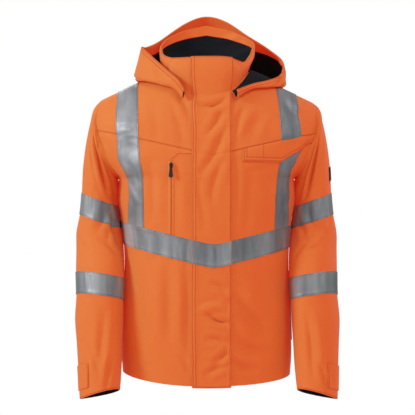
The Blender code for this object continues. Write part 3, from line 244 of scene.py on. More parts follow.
# --- creases ----------------------------------------------------------------------------------
# In millimetres: each runs from (x, z) to (x, z), bows sideways by `bow`, and has its depth (minus is a
# trough) and half width. A bank of the cloth that it pushes aside stands at both sides.
MM = 0.001
BANK, BANK_AT, BANK_SPREAD, END_SHARPNESS = 0.38, 2.1, 0.85, 1.6
CREASE_ENDS, FOLD_ENDS = 0.08, 0.12  # how soon creases and folds fade at their ends
FRONT_CREASES = (
    # the viewer's left of the body, below the band: long soft waves down
    (-62, -400, -66, -570, 4, 1.7, 12),
    (-84, -390, -80, -560, -3, -1.5, 10),
    (-108, -400, -114, -610, 5, 1.8, 14),
    (-44, -375, -42, -610, 2, -1.8, 8),
    (-135, -430, -150, -600, -4, -1.4, 13),
    (-60, -600, -36, -640, 3, -1.6, 6),
    # the viewer's right of the body: folds that fall away from the closure
    (56, -475, 130, -562, 4, -4.4, 12),
    (80, -452, 150, -545, 5, 2.4, 13),
    (56, -560, 135, -602, -6, -3.6, 11),
    (55, -612, 108, -637, -3, -3.4, 9),
    (58, -395, 88, -418, 3, 1.6, 10),
    (150, -440, 158, -620, 4, 1.6, 14),
    (108, -400, 122, -480, 3, -1.2, 11),
    # the storm flap below the band
    (12, -438, 45, -458, 3, -2.8, 7.2),
    (3, -507, 47, -527, -5, -4.4, 6),
    (-16, -498, 36, -492, 4, 2.4, 7),
    (14, -614, 48, -588, -3, -3.6, 6.8),
    (-2, -642, 43, -620, 3, -2.8, 7),
    (2, -560, 47, -576, 4, -2.8, 7.5),
    # the storm flap above the band, and the cloth under the collar
    (-22, -3, 36, 11, -5, -3.6, 6.2),
    (-16, -44, 42, -32, -9, -3.8, 6.4),
    (34, -58, 4, -110, 3, -3.2, 7.5),
    (39, -98, -8, -196, 4, -3.8, 8.5),
    (36, -150, 10, -262, -3, -2.4, 8.5),
    (-18, -215, -4, -325, 2, -1.2, 7),
    # the viewer's left of the chest
    (-63, -16, -36, -76, 4, -3.4, 8.5),
    (-78, -30, -50, -142, 3, -1.5, 8.5),
    (-120, -45, -108, -128, 2, -1.2, 9),
    (-124, -165, -119, -300, 2, -1.4, 7),
    (-101, -175, -101, -310, 1, 1.2, 8),
    (-52, -170, -50, -330, 1, 1.3, 9),
    # the viewer's right of the chest
    (104, -50, 72, -112, -2, 1.8, 8),
    (82, -46, 60, -122, -2, -1.6, 6.5),
    (128, -60, 96, -128, -3, -1.2, 8),
    (60, -150, 64, -300, 2, -1.3, 8),
    (122, -205, 124, -305, 1, 1.3, 8),
    (98, -195, 88, -330, -2, -1.6, 8.5),
    (85, -189, 160, -181, -2, -1.4, 7),
    # drawn in beside the armholes
    (-236, -112, -192, -196, 4, -2.2, 8),
    (236, -112, 196, -190, -4, -3, 7),
)
BACK_CREASES = (
    (-215, -110, -140, -165, -6, -2.4, 9),
    (210, -118, 150, -172, 6, -2.2, 10),
    (-180, -215, -110, -255, -5, -2.2, 9.5),
    (186, -220, 96, -262, 6, -2.4, 9),
    (-30, -130, -44, -290, 4, -1.8, 12),
    (48, -135, 36, -280, -4, -1.6, 11),
    (-120, -330, -60, -300, 4, -1.5, 8),
    (-110, -400, -130, -600, -5, 2, 15),
    (-50, -390, -40, -580, 5, -2.2, 13),
    (20, -400, 34, -620, 4, 1.9, 15),
    (90, -395, 70, -560, -4, -2, 12),
    (140, -400, 150, -610, 5, 1.8, 15),
    (-170, -480, -90, -560, -6, -2.1, 10),
    (170, -520, 104, -590, 5, -2, 10),
    (-60, -620, 10, -640, 4, -1.3, 7),
    (-70, 20, -110, -50, 4, -1.6, 9),
    (80, 15, 100, -60, -4, -1.7, 9),
)
# Puckers where the stiff tapes are sewn on.
TAPE_PUCKERS = (
    (-158, -328, -156, -378, 1, 1.1, 4.5),
    (-143, -332, -145, -380, 1, -0.8, 4),
    (-124, -334, -120, -386, 1, 1, 5),
    (-96, -340, -99, -386, 1, -0.7, 6),
    (-66, -346, -64, -398, 1, 1.2, 4),
    (-54, -348, -55, -400, 0, 1, 3.4),
    (-43, -350, -42, -400, 0, -0.8, 3.5),
    (10, -352, 12, -404, 1, 0.8, 4),
    (22, -350, 21, -402, 0, -0.7, 3.5),
    (76, -342, 79, -388, 1, 0.8, 6.5),
    (112, -334, 115, -380, 1, 1.1, 5),
    (127, -328, 126, -376, 0, -0.8, 5),
    (146, -324, 148, -370, 1, 0.7, 6),
    # the braces
    (-207, -22, -150, -34, 3, -1.8, 14),
    (-203, -78, -148, -92, -3, 2.4, 18),
    (-197, -134, -148, -148, 3, -2.2, 13),
    (-190, -186, -146, -176, -3, 1.9, 14),
    (208, -106, 166, -98, 3, 2.4, 19),
    (190, -268, 152, -246, 3, -1.6, 11),
    (-192, -92, -160, -90, 1, -0.8, 3.4),
    (-190, -106, -164, -107, -1, -0.7, 3.4),
    (-188, -118, -156, -117, 1, -0.8, 3.4),
    (-186, -170, -160, -215, 3, 1.3, 5),
    (-170, -172, -152, -200, 2, -0.9, 4),
    (-168, -225, -150, -262, -3, 1.1, 4.8),
    (-160, -262, -168, -300, 2, -0.9, 4.5),
    (212, -66, 172, -30, 3, -2.6, 8.5),
    (205, -128, 172, -122, 2, -1.4, 7),
    (160, -215, 178, -240, 3, 1, 5),
    (178, -250, 162, -292, 2, -0.9, 4.5),
)
# How much deeper each table's creases are made.
FRONT_GAIN, BACK_GAIN, PUCKER_GAIN = 1.5, 2.1, 1.6
SLEEVE_GAIN, COLLAR_GAIN, HOOD_GAIN = 1.5, 1.4, 1.5
SIDE_CALM = 0.020  # creases die out this near the side and shoulder seams
ARMHOLE_CALM, FOLD_CALM = 0.030, 0.06  # or this far from the armhole, or share of the hood from its fold
SEAM_DEPTH, SEAM_SPREAD, YOKE_VALLEY, HEM_VALLEY = 0.0007, 0.0035, 1.6, 0.5
HEM_STITCH = 0.015  # above the hem
# How the outer front of a cuff sags: how far, at and over which angle, and from how far up.
CUFF_HANG, CUFF_HANG_AT, CUFF_HANG_WIDE, CUFF_HANG_UP = 0.0056, 38, 60, 0.050
# Lines of stitching inside the fronts, as x and z along each.
FRONT_STITCHES = {
    "front_right": (((-0.0775, -0.1655), (-0.0620, -0.1520), (-0.0340, -0.1530)),),
    "pocket_flap": (((0.1265, -0.1280), (0.1265, -0.1640)),),
}

# Sleeve creases: angle from the outside towards the front and distance from the armhole at both ends,
# then bow, depth and half width, all but the angles in millimetres.
MM_PER_DEGREE = 1.22
SLEEVE_CREASES = {
    "both": (
        (158, 34, 200, 56, 2, 1.9, 12),
        (100, 20, 128, 120, 6, -5, 11),
        (142, 40, 150, 170, -4, -3.6, 11),
        (60, 55, 96, 105, 5, -2, 10),
        (112, 165, 84, 250, -6, -3, 11),
        (138, 205, 108, 262, 6, -2.8, 8),
        (128, 300, 92, 262, 4, -2.2, 7),
        (-60, 60, -110, 140, -6, -3.6, 12),
        (-128, 90, -96, 190, 6, -3, 12),
        (-80, 230, -132, 300, 6, -3.2, 11),
        (-70, 270, -118, 262, -5, -3, 9),
        (-150, 330, -100, 440, 7, -3, 12),
        (-60, 430, -92, 560, 4, 2.2, 14),
    ),
    "right": (
        (120, 45, 131, 150, 4, -6.4, 10.5),
        (127, 185, 136, 275, -3, -5.8, 10),
        (96, 440, 84, 570, -4, -2.8, 10),
        (64, 520, 96, 590, 4, -2.2, 8),
        (120, 540, 106, 620, 3, -3, 8),
        (20, 250, 56, 300, 4, -1.4, 9),
        (30, 440, 34, 600, 3, 1.4, 14),
        (72, 150, 70, 205, 1, 1.1, 5),
        (48, 345, 50, 400, 1, 1, 5),
        (58, 350, 62, 398, 1, -0.8, 5),
    ),
    "left": (
        (116, 50, 130, 165, 4, -5.8, 11),
        (40, 215, 70, 280, 6, -2.2, 8),
        (58, 262, 96, 232, -4, -2.2, 7),
        (66, 296, 104, 288, -4, -1.8, 6),
        (88, 440, 74, 560, 4, 2, 12),
        (60, 500, 40, 610, -4, -1.8, 9),
        (104, 450, 98, 600, 3, -2.6, 10),
        (82, 560, 60, 620, 3, -2, 7),
        (78, 152, 80, 208, 1, 1.1, 5),
        (34, 150, 36, 205, 1, 0.8, 5),
        (56, 345, 58, 400, 1, 1.1, 5),
    ),
}
# Collar creases: millimetres round from the front and height at both ends, bow, depth, half width.
COLLAR_MM_PER_DEGREE = 1.7
COLLAR_CREASES = (
    (64, 60, 98, 20, 4, -2.6, 6),
    (85, 80, 130, 50, -4, -2.2, 7),
    (-70, 62, -112, 30, 4, -2, 7),
    (-120, 90, -170, 60, 5, -2.2, 8),
    (170, 100, 240, 90, 6, -2, 8),
    (-290, 110, -210, 80, -6, -2.4, 9),
    (290, 130, 225, 150, 4, -1.6, 7),
)
# Hood creases: thousandths of the way round, from the wearer's right to the left, and of the way up from
# its seam, at both ends, then bow in thousandths, depth in millimetres, half width in thousandths.
HOOD_CREASES = (
    (470, 300, 440, 960, 10, -6, 26),
    (560, 280, 585, 940, -12, -5.5, 26),
    (380, 330, 350, 980, 10, -4.5, 22),
    (650, 320, 640, 960, 10, -4.5, 22),
    (300, 300, 310, 700, 10, -3, 18),
    (240, 360, 330, 560, -14, -3.5, 20),
    (720, 330, 640, 600, 14, -3.5, 20),
    (770, 420, 745, 960, 8, -4, 14),
    (800, 460, 812, 980, -6, 3, 12),
    (850, 300, 820, 900, 6, -2.2, 14),
    (515, 340, 512, 900, 4, 4, 20),
    (410, 600, 530, 560, -30, -3.5, 22),
    (120, 420, 160, 880, 6, -2, 14),
)

# --- stitching --------------------------------------------------------------------------------
STITCH_PITCH, STITCH_LONG, STITCH_HALF = 0.0034, 0.0026, 0.00028
SEAM_ASIDE = 0.55  # stitches of a seam along a column lie beside it, as a share of a cell
EDGE_LINE, SECOND_LINE = 0.0020, 0.0085  # how far in from an edge the two lines of stitching run
FAR, TINY = 0.5, 1e-9  # an edge without stitching counts as this far away
SHARP = 0.004  # past this, distances from a seam are made larger, so that none is drawn where two meet
WAY_ROUND = 1.01  # the whole way round a tube and its last step
SUPPORT = 0.0009  # an extra row this far inside each edge keeps its rounding small
EDGE_ROUND = 0.35  # how far an edge swells past its cut, as a share of the wall
HEAD_TURN = 5  # rows over which a sleeve's or collar's normals turn from the torso's to its own

# --- small things -----------------------------------------------------------------------------
TOOTH_COLUMNS = ("pitch", "across", "deep", "along")
FRONT_TOOTH = (0.0026, 0.0040, 0.0012, 0.0016)
CHEST_TOOTH = (0.0017, 0.0017, 0.0008, 0.0011)
SIDE_TOOTH = (0.0024, 0.0032, 0.0012, 0.0015)
TOOTH_STAGGER, TOOTH_TAPER = 0.25, 0.35  # shares of a tooth's width and length
SIDE_ZIP_CELLS = 8
LIP_THICK = 0.0008
LIPS = (  # beside the chest zip's slit: distance from its middle and lift off the cloth
    (0.0006, 0.0008),
    (0.0022, 0.0011),
    (0.0040, 0.0008),
    (0.0062, -0.0002),
    (0.0085, -0.0012),
)
TAB_FROM, TAB_TO = -20, 60  # degrees round the sleeve from the outside to the front
TAB_SHARE = 0.6  # its wall, as a share of the flaps'
LABEL_ANGLES = (20, 40)
ARM_POCKET_LOW, ARM_POCKET_HIGH = (10, 22), (16, 22)  # columns of the stitches beside the label
HOOD_SEAMS = (0.41, 0.60)  # the seams of its middle panel, as shares of the way round

# --- colours and light ------------------------------------------------------------------------
ORANGE_DEEP, ORANGE_LIGHT, ORANGE_PALE = (0.205, 0.200, 0.033), (0.240, 0.235, 0.042), (0.40, 0.36, 0.12)
# stitch colour with painted groove shade, along seams and stitched edges
ORANGE_STITCH_SHADE = (0.10, 0.022, 0.005)
ORANGE_PAINTED_GLOW, ORANGE_PAINTED_GLOW_SEAM = (0.60, 0.006, 0.0015), (0.34, 0.003, 0.001)  # painted glow, standing in for the fluorescent dye's brightness; weaker along seams as painted groove shade
# the orange thread's painted glow
THREAD_PAINTED_GLOW = (0.42, 0.004, 0.001)
ALL, COLLAR_BACKED = 2.0, 0.5  # shares of a wall's height whose inner face is dark
FLEECE_DARK, ZIP_DARK, FLEECE_SPREAD = (0.0075, 0.0090, 0.0120), (0.008, 0.008, 0.010), 2.6
THREAD_ORANGE, THREAD_GREY = (0.20, 0.16, 0.03), (0.14, 0.145, 0.155)
METAL_DARK, METAL_WORN = (0.030, 0.030, 0.033), (0.085, 0.085, 0.090)
BACKING = (0.012, 0.013, 0.016)  # the shell's inner face, coloured like the fleece
PAINTED_GLOW_REACH, PAINTED_GLOW_SHADED, PAINTED_GLOW_BEND = 0.08, 0.55, 1.2  # painted shade on the painted glow: metres of nearby cloth that dim it, and the share of it left in shade
LINE_WIDTH, PUCKER_WIDTH = 0.0016, 0.0090  # of a drawn stitch line with its painted groove shade, and of the puckers round it
# the film's grey in painted shade and in painted highlight, mixed in streaks that stand in for its satin
# reflections
TAPE_GREY_PAINTED_SHADE, TAPE_GREY_PAINTED_HIGHLIGHT = (0.205, 0.21, 0.225), (0.46, 0.47, 0.49)
# the film's pale glass beads, and its stitch lines' thread colour with painted groove shade
TAPE_PALE, TAPE_STITCH_SHADE = (0.60, 0.61, 0.63), (0.14, 0.14, 0.15)
TAPE_PUCKER_SHEEN_STREAKS = (19, 4, 1)  # how often the film's painted highlight and shade streaks, and its puckers, change along and across a tape, for each metre
TAPE_SHEEN_CONTRAST = (0.38, 0.62)
AMBIENT = 0.19
LIGHTS = (  # name, place, aim, size, power
    ("key", (-2.65, -1.10, 0.95), (0.0, 0.0, -0.25), 0.8, 50.0),
    ("fill", (0.2, -3.0, 0.9), (0.0, 0.0, -0.30), 2.0, 13.0),
    ("right", (1.15, -1.45, 1.85), (0.1, 0.0, -0.15), 0.9, 15.0),
    ("back_left", (-1.2, 2.6, 1.2), (0.0, 0.0, -0.25), 1.2, 19.0),
    ("back_right", (2.4, 1.5, 0.8), (0.0, 0.0, -0.25), 1.2, 12.0),
    ("top", (0.2, 0.3, 2.4), (0.0, 0.0, -0.20), 1.6, 6.0),
)
FLOOR_RADIUS, FLOOR_Z = 3.0, -1.6
FOCAL_PIXELS, FRAME_PIXELS = 936.2, 415  # the view's focal length in pixels of its frame
CAMERA_PLACE = (0.00235, -2.2, -0.2714)


# --- mathematics ------------------------------------------------------------------------------
def smooth_curve(stations, values, at):
    """Cubic Hermite curve through the values, with no overshoot between stations."""
    stations, values = np.asarray(stations, float), np.asarray(values, float)
    rise = np.diff(values) / np.diff(stations)
    inner = np.where(rise[1:] * rise[:-1] > 0, 2 * rise[1:] * rise[:-1] / (rise[1:] + rise[:-1] + 1e-12), 0)
    return hermite(stations, values, np.concatenate([rise[:1], inner, rise[-1:]]), at)


def loop_curve(stations, values, at):
    """Catmull-Rom curve through the values, which may overshoot a little and is softer."""
    stations, values = np.asarray(stations, float), np.asarray(values, float)
    return hermite(stations, values, np.gradient(values, stations), at)


def hermite(stations, values, slopes, at):
    at = np.clip(at, stations[0], stations[-1])
    step = np.diff(stations)
    cell = np.clip(np.searchsorted(stations, at, side="right") - 1, 0, len(step) - 1)
    t = (at - stations[cell]) / step[cell]
    return (values[cell] * (1 + 2 * t) * (1 - t) ** 2 + slopes[cell] * step[cell] * t * (1 - t) ** 2
            + values[cell + 1] * t * t * (3 - 2 * t) + slopes[cell + 1] * step[cell] * t * t * (t - 1))


def column(table, names, name):
    return np.array([row[names.index(name)] for row in table], float)


def unit(vectors):
    return vectors / np.maximum(np.linalg.norm(vectors, axis=-1, keepdims=True), 1e-12)


def softened(x, radius):
    """The size of x with its corner at 0 rounded off."""
    return np.sqrt(x * x + radius * radius) - radius


# --- the torso surface ------------------------------------------------------------------------
def section(z, name):
    heights = column(SECTIONS, SECTION_COLUMNS, "height")
    return smooth_curve(heights, column(SECTIONS, SECTION_COLUMNS, name), z)


def ridge_height(x):
    share = np.clip((x - DROP_FROM_X) / DROP_OVER, 0, 1)
    return RIDGE_TOP - RIDGE_SLOPE * np.hypot(x, RIDGE_ROUND) - LEFT_DROP * share * share * (3 - 2 * share)


def fold_relief(x, z, folds):
    """How far the folds move the cloth out at (x, z)."""
    total = np.zeros_like(x)
    for x0, z0, x1, z1, depth, spread in folds:
        along_x, along_z = x1 - x0, z1 - z0
        t = np.clip(((x - x0) * along_x + (z - z0) * along_z) / (along_x**2 + along_z**2), 0, 1)
        off = np.hypot(x - x0 - t * along_x, z - z0 - t * along_z)
        fade = np.sin(math.pi * (FOLD_ENDS + (1 - 2 * FOLD_ENDS) * t))
        total += depth * np.exp(-((off / spread) ** 2)) * fade
    return total


def torso_y(x, z, in_front):
    """y of the torso's inner face: level sections, drawn in towards the shoulder line."""
    half, power = section(z, "half_width"), section(z, "squareness")
    across = np.maximum(1 - np.clip(np.abs(x) / half, 0, 1) ** power, 0) ** (1 / power)
    climb = np.clip((z - ARMPIT_Z) / (ridge_height(x) - ARMPIT_Z), 0, 1)
    bend = FRONT_SHOULDER_POWER if in_front else BACK_SHOULDER_POWER
    over = (1 - climb**bend) ** (1 / bend)
    relief = fold_relief(x, z, FRONT_FOLDS if in_front else BACK_FOLDS)
    if in_front:
        return MID_Y - (section(z, "front_depth") + relief) * across * over
    return MID_Y + (section(z, "back_depth") + relief) * across * over


def neck_height(x, in_front):
    rise = np.clip(np.abs(x) / NECK_HALF, 0, 1) ** 3
    low = NECK_FRONT_Z if in_front else NECK_BACK_Z
    return low + (ridge_height(NECK_HALF) - low) * rise


def top_height(x, in_front):
    return np.where(np.abs(x) < NECK_HALF, neck_height(x, in_front), ridge_height(x))


def row_height(name, x, in_front):
    """Height of a named seam or tape edge at x."""
    side = (np.abs(x) / SIDE_REACH) ** 2
    vee = BAND_TOP_Z + BAND_SLOPE * softened(x - BAND_LOW_X, BAND_SOFT)
    level = BAND_TOP_Z + BAND_SLOPE * SIDE_REACH
    band_top = vee if in_front else level - BACK_BAND_DIP * (1 - np.clip(side, 0, 1))
    if name == "hem":
        return HEM_Z + np.where(x > 0, HEM_RISE_LEFT, HEM_RISE) * side
    if name == "pocket_low":
        return SIDE_POCKET_LOW_Z + 0 * x
    if name == "pocket_high":
        return SIDE_POCKET_HIGH_Z - POCKET_ROW_DIP * (1 - np.clip(side, 0, 1))
    if name == "band_low":
        return band_top - TAPE_WIDTH * math.hypot(1, BAND_SLOPE / BAND_SLANT)
    if name == "band_top":
        return band_top
    if name == "armpit":
        return ARMPIT_Z + 0 * x
    if name == "flap_low":
        if in_front:
            return FLAP_LOW_Z + FLAP_TURN_SLOPE * np.maximum(x - FLAP_TURN_X, 0)
        return BACK_FLAP_LOW_Z + 0 * x
    if name == "yoke":
        if in_front:
            return YOKE_Z + YOKE_SLOPE * softened(x - BAND_LOW_X, YOKE_SOFT)
        return BACK_YOKE_Z + 0 * x
    return top_height(x, in_front)


def line_x(name, z, in_front):
    """x of a named line that runs up the torso at height z."""
    sign = -1 if name.endswith("right") else 1
    if name.startswith("side"):
        heights, edges = zip(*ARMHOLE)
        edge = smooth_curve(heights, edges, z)
        return sign * np.where(z > ARMPIT_Z, edge, section(z, "half_width"))
    if name == "middle":
        return 0 * z
    if in_front:
        return smooth_curve(*zip(*FRONT_LINES[name]), z)
    base = name.rsplit("_", 1)[0]
    return sign * smooth_curve(*zip(*BACK_LINES[base]), z)


def swing_of(x, z):
    """The angle round a level section at x, as a share of a right angle."""
    half, power = section(z, "half_width"), section(z, "squareness")
    share = np.clip(np.abs(x) / half, 0, 1)
    return np.sign(x) * np.arcsin(np.clip(share ** (power / 2), 0, 1))


def x_at_swing(swing, z):
    half, power = section(z, "half_width"), section(z, "squareness")
    return half * np.sign(swing) * np.abs(np.sin(swing)) ** (2 / power)


def stations_of(named_cells):
    """Each step of a named list as (name, next name, share of the way)."""
    steps = []
    for (name, cells), (after, _) in zip(named_cells, named_cells[1:]):
        steps += [(name, after, k / cells) for k in range(cells)]
    steps.append((named_cells[-1][0], named_cells[-1][0], 0.0))
    return steps


def index_of(named_cells, name):
    """Index of a named line among the grid's steps."""
    count = 0
    for known, cells in named_cells:
        if known == name:
            return count
        count += cells
    raise KeyError(name)


# --- creases ----------------------------------------------------------------------------------
def crease_relief(across, up, creases):
    """Soft troughs (minus) and ridges: each has both ends, its bow sideways, its depth and its half width."""
    total = np.zeros(np.broadcast(across, up).shape)
    for crease in creases:
        a0, b0, a1, b1, bow, depth, width = (part * MM for part in crease)
        length = math.hypot(a1 - a0, b1 - b0)
        way_a, way_b = (a1 - a0) / length, (b1 - b0) / length
        share = ((across - a0) * way_a + (up - b0) * way_b) / length
        inside = np.clip(share, 0, 1)
        off = (up - b0) * way_a - (across - a0) * way_b - bow * 4 * inside * (1 - inside)
        far = np.hypot(off, (share - inside) * length * END_SHARPNESS) / width
        fade = np.sin(math.pi * (CREASE_ENDS + (1 - 2 * CREASE_ENDS) * inside))
        banks = BANK * np.exp(-(((far - BANK_AT) / BANK_SPREAD) ** 2))
        total += depth * fade * (np.exp(-(far**2)) - banks)
    return total


def torso_relief(x, z, in_front):
    """Creases, the tapes' puckers and the small valley along each seam."""
    if in_front:
        total = FRONT_GAIN * crease_relief(x, z, FRONT_CREASES)
        total += PUCKER_GAIN * crease_relief(x, z, TAPE_PUCKERS)
    else:
        total = BACK_GAIN * crease_relief(x, z, BACK_CREASES)
    for height, share in ((row_height("yoke", x, in_front), YOKE_VALLEY),
                          (row_height("hem", x, in_front) + HEM_STITCH, HEM_VALLEY)):
        total -= SEAM_DEPTH * share * np.exp(-(((z - height) / SEAM_SPREAD) ** 2))
    return total


# --- grids ------------------------------------------------------------------------------------
def places_between(steps):
    """The steps that lie between each pair of neighbouring names."""
    places = {}
    for place, step in enumerate(steps):
        places.setdefault(step[:2], []).append(place)
    return places


def torso_grid(columns, in_front):
    """Grid of the torso's inner face: rows from the hem up, columns from the wearer's right to left."""
    rows, lines = stations_of(ROWS), stations_of(columns)
    up = np.array([share for _, _, share in rows])[:, None]
    along = np.array([share for _, _, share in lines])[None, :]
    x, z, swing = (np.zeros((len(rows), len(lines))) for _ in range(3))
    for _ in range(SETTLE):
        for (low, high), own in places_between(rows).items():
            z[own] = ((1 - up[own]) * row_height(low, x[own], in_front)
                      + up[own] * row_height(high, x[own], in_front))
        for (here, there), own in places_between(lines).items():
            heights, share = z[:, own], along[:, own]
            swing[:, own] = ((1 - share) * swing_of(line_x(here, heights, in_front), heights)
                             + share * swing_of(line_x(there, heights, in_front), heights))
        x = 0.5 * x + 0.5 * x_at_swing(swing, z)
    return np.stack([x, torso_y(x, z, in_front), z], -1)


def grid_normals(points, closed=False):
    """Unit normals of a grid of points, from the steps along its rows and columns."""
    if closed:
        wide = np.concatenate([points[:, -1:], points, points[:, :1]], axis=1)
        across = (wide[:, 2:] - wide[:, :-2]) / 2
    else:
        across = np.gradient(points, axis=1)
    return unit(np.cross(across, np.gradient(points, axis=0)))


class Panel:
    """A grid with its normals, from which pieces are cut by row and column."""

    def __init__(self, points, normals, rows=None, columns=None):
        self.points, self.normals = points, normals
        self.rows, self.columns = rows, columns

    def cut(self, low, high, first, last):
        """Rows low to high and columns first to last, each a name or an index."""
        i0, i1 = (index_of(self.rows, n) if isinstance(n, str) else n for n in (low, high))
        j0, j1 = (index_of(self.columns, n) if isinstance(n, str) else n for n in (first, last))
        return self.points[i0 : i1 + 1, j0 : j1 + 1], self.normals[i0 : i1 + 1, j0 : j1 + 1]


def torso_panels():
    """Front and back, creased, with one shared normal along the side and shoulder seams."""
    panels = []
    armpit = index_of(ROWS, "armpit")
    for columns, in_front in ((FRONT_COLUMNS, True), (BACK_COLUMNS, False)):
        points = torso_grid(columns, in_front)
        normals = grid_normals(points) * (1 if in_front else -1)
        for end, sign in ((0, -1), (-1, 1)):
            normals[: armpit + 1, end] = (sign, 0.0, 0.0)
        on_ridge = np.abs(points[-1, :, 0]) > NECK_HALF - 0.002
        slope = np.stack([np.sign(points[-1, :, 0]) * RIDGE_SLOPE, 0 * points[-1, :, 0],
                          1 + 0 * points[-1, :, 0]], -1)
        normals[-1, on_ridge] = unit(slope[on_ridge])
        relief = torso_relief(points[..., 0], points[..., 2], in_front)
        to_side = 1 - np.exp(-(((points[..., 1] - MID_Y) / SIDE_CALM) ** 2))
        creased = points + normals * (relief * to_side)[..., None]
        fresh = grid_normals(creased) * (1 if in_front else -1)
        fresh[:, (0, -1)] = normals[:, (0, -1)]
        fresh[-1] = normals[-1]
        panels.append(Panel(creased, fresh, ROWS, columns))
    return panels


def armhole_loop(front, back, side):
    """The armhole's edge points and normals: from the shoulder down the front, up the back."""
    end, near = (0, 1) if side < 0 else (-1, -2)
    armpit = index_of(ROWS, "armpit")
    loops = []
    for panel in (front, back):
        edge = panel.points[armpit:, end]
        away = unit(edge - panel.points[armpit:, near])
        loops.append((edge[::-1], panel.normals[armpit:, end][::-1], away[::-1]))
    (front_edge, front_normals, front_away), (back_edge, back_normals, back_away) = loops
    points = np.concatenate([front_edge, back_edge[::-1][1:-1]])
    normals = np.concatenate([front_normals, back_normals[::-1][1:-1]])
    away = np.concatenate([front_away, back_away[::-1][1:-1]])
    away[0] = unit(np.array((float(side), 0.0, SHOULDER_FALL)))
    away[len(front_edge) - 1] = (side * ARMPIT_STEP[0], 0.0, ARMPIT_STEP[1])
    return points, normals, away


def sleeve_angles(loop, half_count):
    """Angles round the rings that follow the armhole points' spacing: 0 outside, 90 degrees in front."""
    steps = np.linalg.norm(np.roll(loop, -1, axis=0) - loop, axis=1)
    travelled = np.concatenate([[0], np.cumsum(steps)])
    down, whole = travelled[half_count], travelled[-1]
    shares = travelled[:-1]
    return np.where(shares <= down, math.pi * shares / down, math.pi * (1 + (shares - down) / (whole - down)))


def sleeve_relief(ring, angles):
    total = np.zeros_like(angles)
    for at, angle, depth, ring_spread, angle_spread in SLEEVE_FOLDS:
        off = (np.degrees(angles) - angle + 180) % 360 - 180
        total += depth * np.exp(-(((ring - at) / ring_spread) ** 2) - (off / angle_spread) ** 2)
    return total


def sleeve_ring(at, angles, side):
    """The ring at a position along the sleeve, 0 being the first row of the ring table."""
    stations = np.arange(len(SLEEVE_RINGS))
    read = {name: smooth_curve(stations, column(SLEEVE_RINGS, RING_COLUMNS, name), at)
            for name in RING_COLUMNS}
    outer = np.array((read["outer_x"], read["middle_y"], read["outer_z"]))
    inner = np.array((read["inner_x"], read["middle_y"], read["inner_z"]))
    middle, across = (outer + inner) / 2, (outer - inner) / 2
    tip, turn = math.radians(read["tip"]), math.radians(read["turn"])
    depth = read["half_depth"] * np.array((-math.sin(turn), -math.cos(turn) * math.cos(tip), math.sin(tip)))
    power = 2 / SLEEVE_SQUARENESS
    out = np.sign(np.cos(angles)) * np.abs(np.cos(angles)) ** power
    ahead = np.sign(np.sin(angles)) * np.abs(np.sin(angles)) ** power
    swell = 1 + sleeve_relief(at + 1, angles) / np.linalg.norm(across)
    ring = middle + np.outer(out * swell, across) + np.outer(ahead * swell, depth)
    if side > 0:
        ring[:, 0] += LEFT_SLEEVE_SWING * np.maximum(SWING_FROM_Z - ring[:, 2], 0)
    ring[:, 0] *= side
    return ring


def sleeve_panel(front, back, side):
    """The sleeve's creased grid: rings from the armhole to the cuff, even between the table's rows."""
    loop, loop_normals, away = armhole_loop(front, back, side)
    half_count = index_of(ROWS, "top") - index_of(ROWS, "armpit")
    angles = sleeve_angles(loop, half_count)
    even = math.pi * np.arange(len(loop)) / half_count
    rings = [loop + away * SLEEVE_SEAM]
    loop_middle = (loop[0] + loop[half_count]) / 2
    for at in range(len(SLEEVE_RINGS)):
        spread = min(at / EVEN_FROM, 1.0)
        ring = sleeve_ring(float(at), (1 - spread) * angles + spread * even, side)
        left = HEAD_BLEND[at] if at < len(HEAD_BLEND) else 1.0
        ring_middle = (ring[0] + ring[half_count]) / 2
        rings.append(left * ring + (1 - left) * (loop + ring_middle - loop_middle))
    coarse = np.array(rings)
    steps = np.linalg.norm(np.diff(coarse, axis=0), axis=-1).mean(axis=1)
    at_ring = np.concatenate([[0], np.cumsum(steps)])
    names = [(f"ring_{k}", max(2, round(step / RING_PITCH))) for k, step in enumerate(steps)]
    names.append((f"ring_{len(steps)}", 0))
    fine = np.concatenate([np.linspace(at_ring[k], at_ring[k + 1], cells, endpoint=False)
                           for k, (_, cells) in enumerate(names[:-1])] + [at_ring[-1:]])
    points = np.stack([np.stack([loop_curve(at_ring, coarse[:, k, axis], fine) for axis in range(3)], -1)
                       for k in range(len(loop))], 1)
    sign = 1 if side > 0 else -1
    normals = grid_normals(points, closed=True) * sign
    degrees = (np.degrees(even) + 180) % 360 - 180
    degrees_round = np.broadcast_to(degrees, points.shape[:2])
    down = np.broadcast_to(fine[:, None], points.shape[:2])
    own = SLEEVE_CREASES["both"] + SLEEVE_CREASES["left" if side > 0 else "right"]
    creases = [(a0 * MM_PER_DEGREE, d0, a1 * MM_PER_DEGREE, d1, *rest) for a0, d0, a1, d1, *rest in own]
    relief = SLEEVE_GAIN * sum(crease_relief((degrees_round + turned) * MM_PER_DEGREE * MM, down, creases)
                               for turned in (0, 360, -360))
    calm = np.clip(fine / ARMHOLE_CALM, 0, 1)[:, None]
    points = points + normals * (relief * calm)[..., None]
    sag = np.exp(-(((degrees - CUFF_HANG_AT) / CUFF_HANG_WIDE) ** 2)) * CUFF_HANG
    points[..., 2] -= sag * np.clip(1 - (fine[-1] - fine[:, None]) / CUFF_HANG_UP, 0, 1) ** 2
    normals = grid_normals(points, closed=True) * sign
    normals[0] = loop_normals
    for k in range(1, HEAD_TURN):
        normals[k] = unit(loop_normals * (1 - k / HEAD_TURN) + normals[k] * k / HEAD_TURN)
    return Panel(points, normals, names, (("round", len(loop)), ("end", 0)))


# --- the neck: collar and hood ----------------------------------------------------------------
def neck_point(angle):
    """The neckline at an angle round the neck, 0 in front and plus to the wearer's left."""
    turn = math.radians(angle)
    x = NECK_HALF * math.sin(turn)
    in_front = math.cos(turn) > 0
    height = float(neck_height(np.array(x), in_front))
    return np.array((x, float(torso_y(np.array(x), np.array(height), in_front)), height)), in_front


